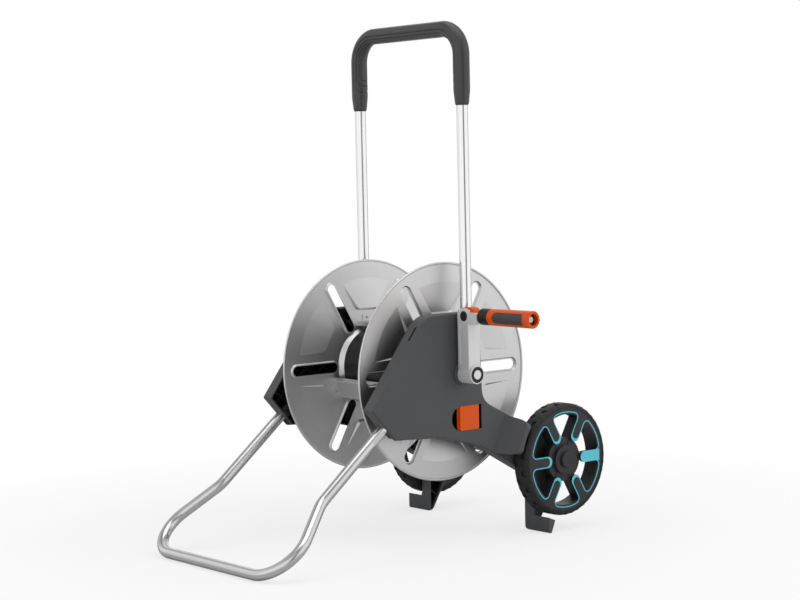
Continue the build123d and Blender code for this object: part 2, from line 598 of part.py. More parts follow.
with BuildPart() as side_shell_right:
    with BuildSketch(side(shell_inner_x)):
        add(frame_outline(0))
    extrude(amount=SHELL_DEPTH)
    fillet(side_shell_right.faces().sort_by(Axis.X)[-1].edges(), radius=SHELL_EDGE_R)
    with BuildSketch(side(shell_inner_x)):
        add(frame_outline(SHELL_WALL))
    extrude(amount=SHELL_DEPTH - SHELL_WALL, mode=Mode.SUBTRACT)
    with BuildSketch(side(SHELL_OUTER_X)):
        Circle(BOSS_R)
    extrude(amount=BOSS_HEIGHT)
    fillet(side_shell_right.faces().sort_by(Axis.X)[-1].edges(), radius=1.5)
    # mudguard in front of the wheel, open towards the tyre
    add(fender_form(0))
    add(fender_form(FENDER_WALL), mode=Mode.SUBTRACT)
    # foot lip that reaches out under the wheel
    with BuildSketch(side(SHELL_OUTER_X - SHELL_WALL)) as lip_outline:
        with BuildLine():
            Polyline(TOE, HEEL, (LEG_FRONT + FOOT_TOP, ground + LIP_TOP), (LEG_FRONT, ground + LIP_TOP),
                     close=True)
        make_face()
        fillet(lip_outline.vertices().sort_by_distance(Vector(*TOE))[0], radius=TOE_R)
    extrude(amount=FOOT_REACH + SHELL_WALL)
    with BuildSketch(side(SHELL_OUTER_X - SHELL_WALL)):
        with BuildLine():
            Polyline((LEG_FRONT + SHELL_WALL, ground + SHELL_WALL), (HEEL[0], ground + SHELL_WALL),
                     (LEG_FRONT + 2 * FOOT_TOP, ground + LIP_TOP - SHELL_WALL),
                     (LEG_FRONT + SHELL_WALL, ground + LIP_TOP - SHELL_WALL), close=True)
        make_face()
    extrude(amount=FOOT_REACH, mode=Mode.SUBTRACT)
    with BuildSketch(side(SHELL_OUTER_X, AXLE)):
        Circle(WHEEL_DIA / 2 + WHEEL_ROOM)
    extrude(amount=FENDER_REACH + FOOT_REACH, mode=Mode.SUBTRACT)
    # bores: reel shaft, wheel axle, hoop leg, handle tube
    with BuildSketch(side(0)):
        Circle(shaft_r + HOLE_GAP)
    extrude(amount=crank_face, mode=Mode.SUBTRACT)
    with BuildSketch(side(0, AXLE)):
        Circle(AXLE_DIA / 2 + SEAT)
    extrude(amount=crank_face, mode=Mode.SUBTRACT)
    with BuildSketch(hoop_leg_plane(-HOOP_IN)):
        Circle(HOOP_TUBE / 2 + FIT_GAP)
    extrude(amount=2 * HOOP_IN, mode=Mode.SUBTRACT)
    with BuildSketch(level(CROWN[1] + HOLE_GAP, (HANDLE_X, HANDLE_Y))):
        Circle(collar_r + SEAT)
        with Locations((-SHELL_DEPTH / 2, 0)):
            Rectangle(SHELL_DEPTH, 2 * collar_r + 2 * SEAT)
    extrude(amount=-COLLAR_HEIGHT - HOLE_GAP, mode=Mode.SUBTRACT)
    with BuildSketch(level(CROWN[1] - COLLAR_HEIGHT, (HANDLE_X, HANDLE_Y))):
        Circle(HANDLE_TUBE / 2 + FIT_GAP)
    extrude(amount=-2 * CROWN[1] - COLLAR_HEIGHT, mode=Mode.SUBTRACT)
    # window of the handle latch, round at its front end
    with BuildSketch(side(liner_x - 1, (window_back - LATCH_WINDOW / 2, LATCH_Z))):
        SlotOverall(LATCH_WINDOW, LATCH_HEIGHT)
        with Locations((LATCH_WINDOW / 4, 0)):
            Rectangle(LATCH_WINDOW / 2, LATCH_HEIGHT)
    extrude(amount=2 * SHELL_WALL, mode=Mode.SUBTRACT)
    # windows in the edge for the liner's snap tabs
    for place, turn in SNAP_PLACES:
        with BuildSketch(side(SHELL_OUTER_X - SHELL_EDGE_R - SNAP_WIDTH, place)):
            with Locations(Rotation(0, 0, turn)):
                Rectangle(SNAP_LENGTH, 4 * SHELL_WALL)
        extrude(amount=SNAP_WIDTH, mode=Mode.SUBTRACT)
    # the rim stops short of the hoop's leg, where the liner shows
    with BuildSketch(side(shell_inner_x, CHIN)):
        Circle(SOCKET_CUT_R)
    extrude(amount=SHELL_DEPTH - 2 * SHELL_EDGE_R, mode=Mode.SUBTRACT)
    # posts for the frame screws
    with BuildSketch(side(liner_x - POST_HEIGHT)):
        with Locations(*SCREW_PLACES):
            Circle(POST_R)
            Circle(SCREW_R, mode=Mode.SUBTRACT)
    extrude(amount=POST_HEIGHT)

    with BuildSketch(facing_back(LEG_FRONT - FOOT_TOP / 2, (shell_inner_x, ground))):
        with Locations((-FOOT_CORNER_R / 2, FOOT_CORNER_R / 2)):
            Rectangle(FOOT_CORNER_R, FOOT_CORNER_R)
        with Locations((-FOOT_CORNER_R, FOOT_CORNER_R)):
            Circle(FOOT_CORNER_R, mode=Mode.SUBTRACT)
    extrude(amount=3 * FOOT_TOP, mode=Mode.SUBTRACT)

side_shell_left = mirrored(side_shell_right)

liner_back = liner_x - LINER_WEB
liner_rim = shell_inner_x + LINER_SETBACK
with BuildPart() as side_liner_right:
    with BuildSketch(side(liner_back)):
        add(frame_outline(SHELL_WALL + SEAT))
    extrude(amount=LINER_WEB - SEAT)
    with BuildSketch(side(liner_rim)):
        add(frame_outline(SHELL_WALL + SEAT))
        add(frame_outline(SHELL_WALL + LINER_RIB), mode=Mode.SUBTRACT)
    extrude(amount=liner_back - liner_rim)
    with BuildSketch(side(liner_rim)):
        with Locations(Rotation(0, 0, RIB_TURN)):
            with GridLocations(RIB_PITCH, 0, RIB_COUNT, 1):
                Rectangle(LINER_RIB, 2 * FLANGE_DIA)
        with Locations(Rotation(0, 0, -RIB_TURN)):
            with GridLocations(RIB_PITCH, 0, RIB_COUNT, 1):
                Rectangle(LINER_RIB, 2 * FLANGE_DIA)
        add(frame_outline(SHELL_WALL + LINER_RIB / 2), mode=Mode.INTERSECT)
    extrude(amount=liner_back - liner_rim)
    # bearing, axle and screw bosses
    with BuildSketch(side(shell_inner_x)):
        Circle(bush_r + BEARING_WALL)
    extrude(amount=liner_back - shell_inner_x)
    with BuildSketch(side(shell_inner_x, AXLE)):
        Circle(AXLE_DIA / 2 + AXLE_BOSS_WALL)
    extrude(amount=liner_back - shell_inner_x)
    with BuildSketch(side(boss_top)):
        with Locations(*SCREW_PLACES):
            Circle(POST_R + LINER_RIB)
    extrude(amount=liner_back - boss_top)
    # socket that grips the hoop leg
    with BuildSketch(hoop_leg_plane(-HOOP_IN - LINER_RIB)):
        Circle(HOOP_TUBE / 2 + SOCKET_WALL)
    extrude(amount=HOOP_IN - SHELL_EDGE_R)
    # closed bay for the latch
    bay_place = (window_back - LATCH_WINDOW / 2, LATCH_Z)
    bay_length = LATCH_WINDOW + 2 * LATCH_ROOM
    bay_height = LATCH_HEIGHT + 2 * LATCH_LIP + 2 * FIT_GAP
    with BuildSketch(side(shell_inner_x)):
        with Locations(bay_place):
            Rectangle(bay_length + 2 * LINER_RIB, bay_height + 2 * LINER_RIB)
        add(frame_outline(SHELL_WALL + SEAT), mode=Mode.INTERSECT)
    extrude(amount=liner_back - shell_inner_x)
    with BuildSketch(side(shell_inner_x + LINER_RIB, bay_place)):
        Rectangle(bay_length, bay_height)
    extrude(amount=SHELL_DEPTH, mode=Mode.SUBTRACT)
    split(bisect_by=side(liner_x - SEAT), keep=Keep.BOTTOM)
    split(bisect_by=side(shell_inner_x), keep=Keep.TOP)
    with BuildSketch(level(CROWN[1] + HOLE_GAP, (HANDLE_X, HANDLE_Y))):
        Circle(collar_r + SEAT)
        with Locations((-SHELL_DEPTH / 2, 0)):
            Rectangle(SHELL_DEPTH, 2 * collar_r + 2 * SEAT)
    extrude(amount=-COLLAR_HEIGHT - HOLE_GAP, mode=Mode.SUBTRACT)
    with BuildSketch(level(CROWN[1], (HANDLE_X, HANDLE_Y))):
        Circle(HANDLE_TUBE / 2 + FIT_GAP)
    extrude(amount=-3 * CROWN[1], mode=Mode.SUBTRACT)
    with BuildSketch(hoop_leg_plane(-HOOP_IN)):
        Circle(HOOP_TUBE / 2 + SEAT)
    extrude(amount=2 * HOOP_IN, mode=Mode.SUBTRACT)
    with BuildSketch(side(0)):
        Circle(bush_r + SEAT)
    extrude(amount=crank_face, mode=Mode.SUBTRACT)
    with BuildSketch(side(0, AXLE)):
        Circle(AXLE_DIA / 2 + SEAT)
    extrude(amount=crank_face, mode=Mode.SUBTRACT)
    with BuildSketch(side(liner_x - POST_HEIGHT - FIT_GAP)):
        with Locations(*SCREW_PLACES):
            Circle(POST_R + SEAT)
    extrude(amount=POST_HEIGHT + FIT_GAP, mode=Mode.SUBTRACT)
    with BuildSketch(side(shell_inner_x)):
        with Locations(*SCREW_PLACES):
            Circle(SCREW_HEAD_R + FIT_GAP)
    extrude(amount=boss_top - shell_inner_x, mode=Mode.SUBTRACT)
    with BuildSketch(side(0, bolt_place)):
        Circle(SCREW_R + SCREW_HOLE_GAP)
    extrude(amount=liner_x, mode=Mode.SUBTRACT)
    with BuildSketch(side(boss_top)):
        with Locations(*SCREW_PLACES):
            Circle(SCREW_R + SCREW_HOLE_GAP)
    extrude(amount=SHELL_DEPTH, mode=Mode.SUBTRACT)

side_liner_left = mirrored(side_liner_right)

with BuildPart() as frame_screws:
    for place in SCREW_PLACES:
        seat = Plane(origin=REEL + Vector(boss_top, *place), x_dir=(0, 1, 0), z_dir=(-1, 0, 0))
        add(screw(seat, SCREW_LENGTH - SCREW_HEAD))
    mirror(about=MIDDLE)

with BuildPart() as bearing_bush_right:
    with BuildSketch(side(shell_inner_x)):
        Circle(bush_r)
    extrude(amount=SHELL_DEPTH - SHELL_WALL - SEAT)
    with BuildSketch(side(bush_x)):
        Circle(BUSH_FLANGE_R)
    extrude(amount=BUSH_FLANGE)
    with BuildSketch(side(bush_x + BUSH_FLANGE)):
        Circle(bush_r)
    extrude(amount=FIT_GAP)
    with BuildSketch(side(bush_x)):
        Circle(shaft_r + RUN_GAP)
    extrude(amount=2 * SHELL_DEPTH, mode=Mode.SUBTRACT)

bearing_bush_left = mirrored(bearing_bush_right)

# ---- stand hoop ----
HOOP_PLANE = Plane(origin=REEL + Vector(0, *HOOP_ENTRY), x_dir=(1, 0, 0), z_dir=(0, sin(slope), -cos(slope)))
with BuildPart() as stand_hoop:
    with BuildLine(HOOP_PLANE):
        FilletPolyline((HOOP_X, -HOOP_IN), (HOOP_X, HOOP_STRAIGHT), (HOOP_HALF, hoop_length),
                       (-HOOP_HALF, hoop_length), (-HOOP_X, HOOP_STRAIGHT), (-HOOP_X, -HOOP_IN),
                       radius=[HOOP_KINK_R, HOOP_BEND, HOOP_BEND, HOOP_KINK_R])
    with BuildSketch(hoop_leg_plane(-HOOP_IN)):
        Circle(HOOP_TUBE / 2)
        Circle(HOOP_TUBE / 2 - HOOP_WALL, mode=Mode.SUBTRACT)
    sweep()
    with BuildSketch(side(-SHELL_OUTER_X, bolt_place)):
        Circle(SCREW_R + SCREW_HOLE_GAP)
    extrude(amount=2 * SHELL_OUTER_X, mode=Mode.SUBTRACT)
    # pressed flats on the outer sides of the legs
    flat_along = HOOP_FLAT_START + HOOP_FLAT_LENGTH / 2
    for end in (-1, 1):
        flat_place = Vector(end * (HOOP_X + HOOP_TUBE / 2 - HOOP_FLAT_DEPTH),
                            HOOP_ENTRY[0] - flat_along * cos(slope), HOOP_ENTRY[1] - flat_along * sin(slope))
        with BuildSketch(Plane(origin=REEL + flat_place, x_dir=hoop_way, z_dir=(end, 0, 0))):
            SlotOverall(HOOP_FLAT_LENGTH, HOOP_FLAT_WIDTH)
        extrude(amount=HOOP_FLAT_DEPTH, mode=Mode.SUBTRACT)

with BuildPart() as hoop_bolts:
    bolt_plane = Plane(origin=REEL + Vector(HOOP_X - HOOP_TUBE / 2 - SOCKET_WALL, *bolt_place),
                       x_dir=(0, 1, 0), z_dir=(-1, 0, 0))
    add(screw(bolt_plane, SOCKET_WALL + HOOP_TUBE - HOOP_WALL))
    mirror(about=MIDDLE)

# ---- handle ----
handle_r = HANDLE_TUBE / 2
with BuildPart() as tube_collar_right:
    with BuildSketch(level(CROWN[1] - COLLAR_HEIGHT, (HANDLE_X, HANDLE_Y))):
        Circle(collar_r)
    extrude(amount=COLLAR_HEIGHT)
    with BuildSketch(level(CROWN[1], (HANDLE_X, HANDLE_Y))):
        Circle(collar_r + COLLAR_WALL)
    extrude(amount=COLLAR_RISE)
    chamfer(tube_collar_right.edges().group_by(Axis.Z)[-1], length=COLLAR_RISE / 3)
    with BuildSketch(level(0, (HANDLE_X, HANDLE_Y))):
        Circle(handle_r + RUN_GAP)
    extrude(amount=HANDLE_TOP, mode=Mode.SUBTRACT)

tube_collar_left = mirrored(tube_collar_right)

with BuildPart() as handle_tube:
    with BuildLine(facing_back(HANDLE_Y)):
        FilletPolyline((-HANDLE_X, HANDLE_FOOT), (-HANDLE_X, HANDLE_TOP), (HANDLE_X, HANDLE_TOP),
                       (HANDLE_X, HANDLE_FOOT), radius=HANDLE_BEND)
    with BuildSketch(level(HANDLE_FOOT, (HANDLE_X, HANDLE_Y))):
        Circle(handle_r)
        Circle(handle_r - HANDLE_WALL, mode=Mode.SUBTRACT)
    sweep()
    with BuildSketch(facing_back(HANDLE_Y)):
        with GridLocations(2 * HANDLE_X, 0, 2, 1):
            with Locations((0, LATCH_Z), (0, LATCH_Z + HANDLE_TRAVEL)):
                Circle(LATCH_HOLE_R)
    extrude(amount=HANDLE_TUBE, mode=Mode.SUBTRACT)

grip_r = GRIP_DIA / 2
with BuildPart() as handle_grip:
    with BuildLine(facing_back(HANDLE_Y)):
        FilletPolyline((-HANDLE_X, GRIP_FOOT + GRIP_TAPER), (-HANDLE_X, HANDLE_TOP),
                       (HANDLE_X, HANDLE_TOP), (HANDLE_X, GRIP_FOOT + GRIP_TAPER), radius=HANDLE_BEND)
    with BuildSketch(level(GRIP_FOOT + GRIP_TAPER, (HANDLE_X, HANDLE_Y))):
        Circle(grip_r)
        Circle(handle_r + SEAT, mode=Mode.SUBTRACT)
    sweep()
    for end in (-HANDLE_X, HANDLE_X):
        with BuildSketch(level(GRIP_FOOT + GRIP_TAPER, (end, HANDLE_Y))):
            Circle(grip_r)
        extrude(amount=-GRIP_TAPER, taper=6)
        with BuildSketch(level(GRIP_FOOT + GRIP_TAPER, (end, HANDLE_Y))):
            Circle(handle_r + SEAT)
        extrude(amount=-GRIP_TAPER, mode=Mode.SUBTRACT)

with BuildPart() as tube_plugs:
    with BuildSketch(level(HANDLE_FOOT, (HANDLE_X, HANDLE_Y))):
        Circle(handle_r - HANDLE_WALL - SEAT)
    extrude(amount=PLUG_HEIGHT)
    with BuildSketch(level(HANDLE_FOOT, (HANDLE_X, HANDLE_Y))):
        Circle(handle_r)
    extrude(amount=-COLLAR_RISE)
    fillet(tube_plugs.edges().group_by(Axis.Z)[0], radius=1)
    mirror(about=MIDDLE)

# ---- handle latches ----
latch_mid = LATCH_BACK - LATCH_LENGTH / 2
latch_height = LATCH_HEIGHT - 2 * FIT_GAP
with BuildPart() as latch_right:
    with BuildSketch(side(liner_x - LINER_WEB, (latch_mid, LATCH_Z))):
        RectangleRounded(LATCH_LENGTH, latch_height, 3)
    extrude(amount=LINER_WEB + SHELL_WALL + LATCH_PROUD)
    fillet(latch_right.edges().group_by(Axis.X)[-1], radius=0.6)
    # retainer behind the window, and tongue behind the tube
    with BuildSketch(side(liner_x - LINER_WEB, (latch_mid, LATCH_Z))):
        Rectangle(LATCH_LENGTH + 2 * LATCH_LIP, latch_height + 2 * LATCH_LIP)
    extrude(amount=LINER_WEB - FIT_GAP)
    tongue_start = HANDLE_Y + handle_r + FIT_GAP
    tongue_end = LATCH_BACK + LATCH_LIP
    with BuildSketch(side(HANDLE_X - LATCH_HOLE_R + FIT_GAP, ((tongue_start + tongue_end) / 2, LATCH_Z))):
        Rectangle(tongue_end - tongue_start, 2 * LATCH_HOLE_R - 2 * FIT_GAP)
    extrude(amount=liner_x - LINER_WEB - HANDLE_X + LATCH_HOLE_R - FIT_GAP)

latch_left = mirrored(latch_right)

# ---- wheels ----
axle_r = AXLE_DIA / 2
with BuildPart() as wheel_axle:
    with BuildSketch(side(CAP_RECESS / 2 - wheel_outer, AXLE)):
        Circle(axle_r)
    extrude(amount=2 * wheel_outer - CAP_RECESS)
    chamfer(wheel_axle.edges().filter_by(GeomType.CIRCLE), length=1)

nut_x = wheel_outer - CAP_RECESS + FIT_GAP
with BuildPart() as axle_nuts:
    with BuildSketch(side(nut_x, AXLE)):
        Circle(AXLE_NUT_R)
        Circle(axle_r + SEAT, mode=Mode.SUBTRACT)
    extrude(amount=AXLE_NUT)
    mirror(about=MIDDLE)

face_x = wheel_outer - SHELL_WALL / 4
spoke_middle = (RIM_R + SPOKE_TIP_R + SPOKE_WIDTH / 2) / 2


def tongues(width):
    """The wheel's six face spokes, round at their inner ends, in the plane of the face."""
    with BuildSketch() as fingers:
        with PolarLocations(0, SPOKES):
            with Locations((SPOKE_TIP_R + SPOKE_WIDTH / 2, 0)):
                Circle(width / 2)
            with Locations((spoke_middle + TRIM_WIDTH, 0)):
                Rectangle(RIM_R - SPOKE_TIP_R - SPOKE_WIDTH / 2 + 2 * TRIM_WIDTH, width)
    return fingers.sketch


with BuildSketch() as wheel_window:
    Circle(RIM_R)
    add(tongues(SPOKE_WIDTH), mode=Mode.SUBTRACT)
    fillet(wheel_window.vertices().group_by(SortBy.DISTANCE)[-1], radius=WINDOW_CORNER_R)

with BuildPart() as wheel_right:
    with BuildSketch(side(wheel_inner + 2, AXLE)):
        Circle(TYRE_R - SEAT)
        Circle(RIM_R - 3, mode=Mode.SUBTRACT)
    extrude(amount=face_x - wheel_inner - 2)
    with BuildSketch(side(face_x, AXLE)):
        Circle(RIM_R + 1)
        add(wheel_window.sketch, mode=Mode.SUBTRACT)
    extrude(amount=-FACE_DEPTH)
    with BuildSketch(side(wheel_inner + 6, AXLE)):
        with PolarLocations(0, SPOKES):
            with Locations((RIM_R / 2, 0)):
                Rectangle(RIM_R, WEB_WIDTH)
    extrude(amount=face_x - FACE_DEPTH - wheel_inner - 6)
    with BuildSketch(side(face_x - 3 * FACE_DEPTH, AXLE)):
        Circle(WHEEL_PLATE_R)
    extrude(amount=2 * FACE_DEPTH - 1)
    with BuildSketch(side(wheel_inner, AXLE)):
        Circle(HUB_R)
    extrude(amount=WHEEL_WIDTH / 2)
    with BuildSketch(side(wheel_outer - WHEEL_WIDTH / 2, AXLE)):
        Circle(WHEEL_HUB_R)
    extrude(amount=WHEEL_WIDTH / 2 - 1)
    with BuildSketch(side(0, AXLE)):
        Circle(axle_r + RUN_GAP)
    extrude(amount=wheel_outer, mode=Mode.SUBTRACT)
    with BuildSketch(side(wheel_outer - CAP_RECESS, AXLE)):
        Circle(CAP_R)
    extrude(amount=CAP_RECESS, mode=Mode.SUBTRACT)

with BuildPart() as tyre_right:
    with BuildSketch(side(wheel_inner, AXLE)):
        Circle(WHEEL_DIA / 2)
    extrude(amount=WHEEL_WIDTH)
    fillet(tyre_right.edges().filter_by(GeomType.CIRCLE), radius=SHOULDER)
    with BuildSketch(side(wheel_inner, AXLE)):
        Circle(TYRE_R)
    extrude(amount=WHEEL_WIDTH, mode=Mode.SUBTRACT)
    for start, turn in ((wheel_inner, 0), (wheel_inner + WHEEL_WIDTH * 0.6, 180 / TREAD_COUNT)):
        with BuildSketch(side(start, AXLE)):
            with PolarLocations(WHEEL_DIA / 2, TREAD_COUNT, start_angle=turn):
                Rectangle(2 * TREAD_DEPTH, GROOVE_WIDTH)
        extrude(amount=WHEEL_WIDTH * 0.4, mode=Mode.SUBTRACT)

with BuildPart() as wheel_trim_right:
    with BuildSketch(side(face_x, AXLE)):
        add(wheel_window.sketch)
        offset(amount=TRIM_WIDTH, mode=Mode.REPLACE)
        # crescents at the inner ends of the face spokes
        with PolarLocations(SPOKE_TIP_R + SPOKE_WIDTH / 2, SPOKES):
            Circle(SPOKE_WIDTH / 2)
        with PolarLocations(SPOKE_TIP_R + SPOKE_WIDTH / 2 + 2 * TRIM_WIDTH, SPOKES):
            Circle(SPOKE_WIDTH / 2 - TRIM_WIDTH, mode=Mode.SUBTRACT)
        add(wheel_window.sketch, mode=Mode.SUBTRACT)
        # one spoke is filled in
        with Locations((spoke_middle, 0)):
            Rectangle(RIM_R - SPOKE_TIP_R - SPOKE_WIDTH / 2, SPOKE_WIDTH)
        with Locations((SPOKE_TIP_R + SPOKE_WIDTH / 2, 0)):
            Circle(SPOKE_WIDTH / 2)
    extrude(amount=TRIM_PROUD)

with BuildPart() as wheel_cap_right:
    with BuildSketch(side(wheel_outer - CAP_RECESS / 2 + FIT_GAP, AXLE)):
        Circle(CAP_R - SEAT)
    extrude(amount=CAP_RECESS / 2 + CAP_HEIGHT - FIT_GAP)
    fillet(wheel_cap_right.edges().group_by(Axis.X)[-1], radius=1.5)

wheel_left = mirrored(wheel_right)
tyre_left = mirrored(tyre_right)
wheel_trim_left = mirrored(wheel_trim_right)
wheel_cap_left = mirrored(wheel_cap_right)

# ---- crank ----
arm_x = crank_face + ARM_DEPTH                  # outer face of the crank arm
turret_x = arm_x + HUB_TURRET
ring_x = turret_x - TURRET_RING
HINGE = Plane(origin=REEL + Vector(hinge_x, 0, CRANK_REACH), x_dir=(1, 0, 0), z_dir=(0, -1, 0))
with BuildPart() as crank_arm:
    with BuildSketch(side(crank_face)):
        with Locations((0, CRANK_REACH / 2)):
            SlotCenterToCenter(CRANK_REACH, ARM_WIDTH, rotation=90)
    extrude(amount=ARM_DEPTH)
    fillet(crank_arm.edges().group_by(Axis.X)[-1], radius=1.2)
    with BuildSketch(side(crank_face)):
        Circle(HUB_TURRET_R)
    extrude(amount=ARM_DEPTH + HUB_TURRET)
    # pockets in both sides
    pocket_top = CRANK_REACH - PIN_HEAD_DIA / 2 - 1
    pocket_foot = HUB_TURRET_R + 3
    for face, way in ((-ARM_WIDTH / 2, 1), (ARM_WIDTH / 2, -1)):
        with BuildSketch(facing_back(face, (crank_face + ARM_DEPTH / 2, (pocket_top + pocket_foot) / 2))):
            RectangleRounded(ARM_DEPTH - 2 * ARM_POCKET_RIM, pocket_top - pocket_foot, 6)
        extrude(amount=way * ARM_POCKET, mode=Mode.SUBTRACT)
    # seat on the shaft
    with BuildSketch(side(crank_face)):
        RegularPolygon(DRIVE_HEX / 2 + SEAT, 6, major_radius=False)
    extrude(amount=ARM_DEPTH, mode=Mode.SUBTRACT)
    with BuildSketch(side(arm_x)):
        Circle(CRANK_CAP_R + SEAT)
    extrude(amount=HUB_TURRET, mode=Mode.SUBTRACT)
    with BuildSketch(side(ring_x)):
        Circle(CRANK_RING_R + SEAT)
    extrude(amount=TURRET_RING, mode=Mode.SUBTRACT)
    # fork for the grip's knuckle, open above and at its outer end
    with BuildSketch(HINGE):
        Circle(ARM_WIDTH / 2)
        with Locations((FORK_DEPTH / 2, FORK_TOP / 2 - ARM_WIDTH / 4)):
            RectangleRounded(FORK_DEPTH, FORK_TOP + ARM_WIDTH / 2, FORK_CORNER_R)
    extrude(amount=ARM_WIDTH / 2, both=True)
    fork_end = FORK_DEPTH + ARM_WIDTH
    with BuildSketch(HINGE):
        Circle(KNUCKLE_R + FIT_GAP)
        with Locations((fork_end / 2 - KNUCKLE_R - FIT_GAP, ARM_WIDTH / 2)):
            Rectangle(fork_end, ARM_WIDTH)
        with Locations((fork_end / 2, ARM_WIDTH / 2 - NECK_HALF - FIT_GAP)):
            Rectangle(fork_end, ARM_WIDTH)
    extrude(amount=KNUCKLE_WIDTH / 2 + FIT_GAP, both=True, mode=Mode.SUBTRACT)
    with BuildSketch(HINGE):
        Circle(PIN_DIA / 2 + SEAT)
    extrude(amount=ARM_WIDTH, both=True, mode=Mode.SUBTRACT)
    for face in (-1, 1):
        with BuildSketch(HINGE.offset(face * ARM_WIDTH / 2)):
            Circle(PIN_HEAD_DIA / 2 + SEAT)
        extrude(amount=-face * PIN_HEAD, mode=Mode.SUBTRACT)

with BuildPart() as crank_bolt:
    with BuildSketch(side(arm_x)):
        RegularPolygon(CRANK_CAP_R - 1.5, 6)
    extrude(amount=CRANK_BOLT_HEAD)
    with BuildSketch(side(arm_x)):
        Circle(CRANK_BOLT_R)
    extrude(amount=2 - CRANK_BOLT_LENGTH)

with BuildPart() as crank_ring:
    with BuildSketch(side(ring_x)):
        Circle(CRANK_RING_R)
        Circle(CRANK_CAP_R + SEAT, mode=Mode.SUBTRACT)
    extrude(amount=TURRET_RING + FIT_GAP)

with BuildPart() as crank_cap:
    with BuildSketch(side(arm_x + CRANK_BOLT_HEAD)):
        Circle(CRANK_CAP_R)
    extrude(amount=HUB_TURRET - CRANK_BOLT_HEAD + 3 * FIT_GAP)
    fillet(crank_cap.edges().group_by(Axis.X)[-1], radius=0.8)

# ---- folding grip of the crank ----
GRIP_AXIS = (0.0, CRANK_REACH)
spindle_x = hinge_x + PIN_DIA
spindle_end = crank_end - 6.0
with BuildPart() as crank_knuckle:
    with BuildSketch(HINGE):
        with Locations((KNUCKLE_REACH / 2, 0)):
            SlotCenterToCenter(KNUCKLE_REACH, 2 * KNUCKLE_R)
        with Locations((0, -NECK_HALF)):
            Rectangle(4 * KNUCKLE_R, KNUCKLE_R, align=(Align.CENTER, Align.MAX), mode=Mode.SUBTRACT)
        Circle(KNUCKLE_R)
        with Locations((GRIP_START / 2, 0)):
            Rectangle(GRIP_START, 2 * NECK_HALF)
        Circle(PIN_DIA / 2 + RUN_GAP, mode=Mode.SUBTRACT)
    extrude(amount=KNUCKLE_WIDTH / 2, both=True)
    with BuildSketch(side(spindle_x, GRIP_AXIS)):
        Circle(SPINDLE_DIA / 2 + SEAT)
    extrude(amount=GRIP_START, mode=Mode.SUBTRACT)

with BuildPart() as knuckle_pin:
    with BuildSketch(HINGE):
        Circle(PIN_DIA / 2)
    extrude(amount=ARM_WIDTH / 2 - FIT_GAP, both=True)
    for face in (-1, 1):
        with BuildSketch(HINGE.offset(face * (ARM_WIDTH / 2 - PIN_HEAD + SEAT))):
            Circle(PIN_HEAD_DIA / 2)
        extrude(amount=face * (PIN_HEAD - FIT_GAP))

with BuildPart() as grip_spindle:
    with BuildSketch(side(spindle_x, GRIP_AXIS)):
        Circle(SPINDLE_DIA / 2)
    extrude(amount=spindle_end - spindle_x)

with BuildPart() as grip_collar:
    with BuildSketch(side(hinge_x + GRIP_START, GRIP_AXIS)):
        Circle(COLLAR_DIA / 2)
    extrude(amount=SLEEVE_START - GRIP_START - FIT_GAP)
    fillet(grip_collar.edges().group_by(Axis.X)[-1], radius=1)
    with BuildSketch(side(hinge_x, GRIP_AXIS)):
        Circle(SPINDLE_DIA / 2 + SEAT)
    extrude(amount=SLEEVE_START, mode=Mode.SUBTRACT)

hole_floor = crank_end - 10.0
with BuildPart() as spindle_clip:
    with BuildSketch(side(hole_floor + FIT_GAP, GRIP_AXIS)):
        Circle(CLIP_R)
        with PolarLocations(CLIP_R + 1, 6):
            Circle(2, mode=Mode.SUBTRACT)
        Circle(SPINDLE_DIA / 2 + SEAT, mode=Mode.SUBTRACT)
    extrude(amount=SHEET)

SLEEVE_FACE = Plane(origin=REEL + Vector(sleeve_x + INLAY_START + INLAY_LENGTH / 2, 0, CRANK_REACH),
                    x_dir=(1, 0, 0), z_dir=(0, -1, 0))
sleeve_r = SLEEVE_DIA / 2 - 0.5


def inlay_outline(grow=0.0):
    """An inlay's outline, round at its inner end and nearly square at its outer end."""
    SlotOverall(INLAY_LENGTH + 2 * grow, INLAY_WIDTH + 2 * grow)
    with Locations((INLAY_LENGTH / 4, 0)):
        RectangleRounded(INLAY_LENGTH / 2 + 2 * grow, INLAY_WIDTH + 2 * grow, INLAY_CORNER_R)


with BuildPart() as grip_sleeve:
    with BuildSketch(side(sleeve_x, GRIP_AXIS)):
        Circle(sleeve_r)
    extrude(amount=SLEEVE_LENGTH, taper=-SLEEVE_FLARE)
    fillet(grip_sleeve.edges().filter_by(GeomType.CIRCLE), radius=1.5)
    with BuildSketch(side(sleeve_x, GRIP_AXIS)):
        Circle(SPINDLE_DIA / 2 + RUN_GAP)
    extrude(amount=SLEEVE_LENGTH, mode=Mode.SUBTRACT)
    with BuildSketch(side(hole_floor, GRIP_AXIS)):
        Circle(END_HOLE_DIA / 2)
    extrude(amount=SLEEVE_LENGTH, mode=Mode.SUBTRACT)
    with BuildSketch(SLEEVE_FACE.offset(sleeve_r - INLAY_DEPTH)):
        inlay_outline(SEAT)
    extrude(amount=SLEEVE_DIA, mode=Mode.SUBTRACT)
    with BuildSketch(SLEEVE_FACE.offset(INLAY_DEPTH - sleeve_r)):
        inlay_outline(SEAT)
    extrude(amount=-SLEEVE_DIA, mode=Mode.SUBTRACT)

with BuildPart() as grip_inlays:
    with BuildSketch(side(sleeve_x, GRIP_AXIS)):
        Circle(sleeve_r - FIT_GAP)
    extrude(amount=SLEEVE_LENGTH, taper=-SLEEVE_FLARE)
    with BuildSketch(SLEEVE_FACE):
        inlay_outline()
    extrude(amount=SLEEVE_DIA, both=True, mode=Mode.INTERSECT)
    with BuildSketch(SLEEVE_FACE):
        Rectangle(SLEEVE_LENGTH, SLEEVE_DIA)
    extrude(amount=sleeve_r - INLAY_DEPTH, both=True, mode=Mode.SUBTRACT)

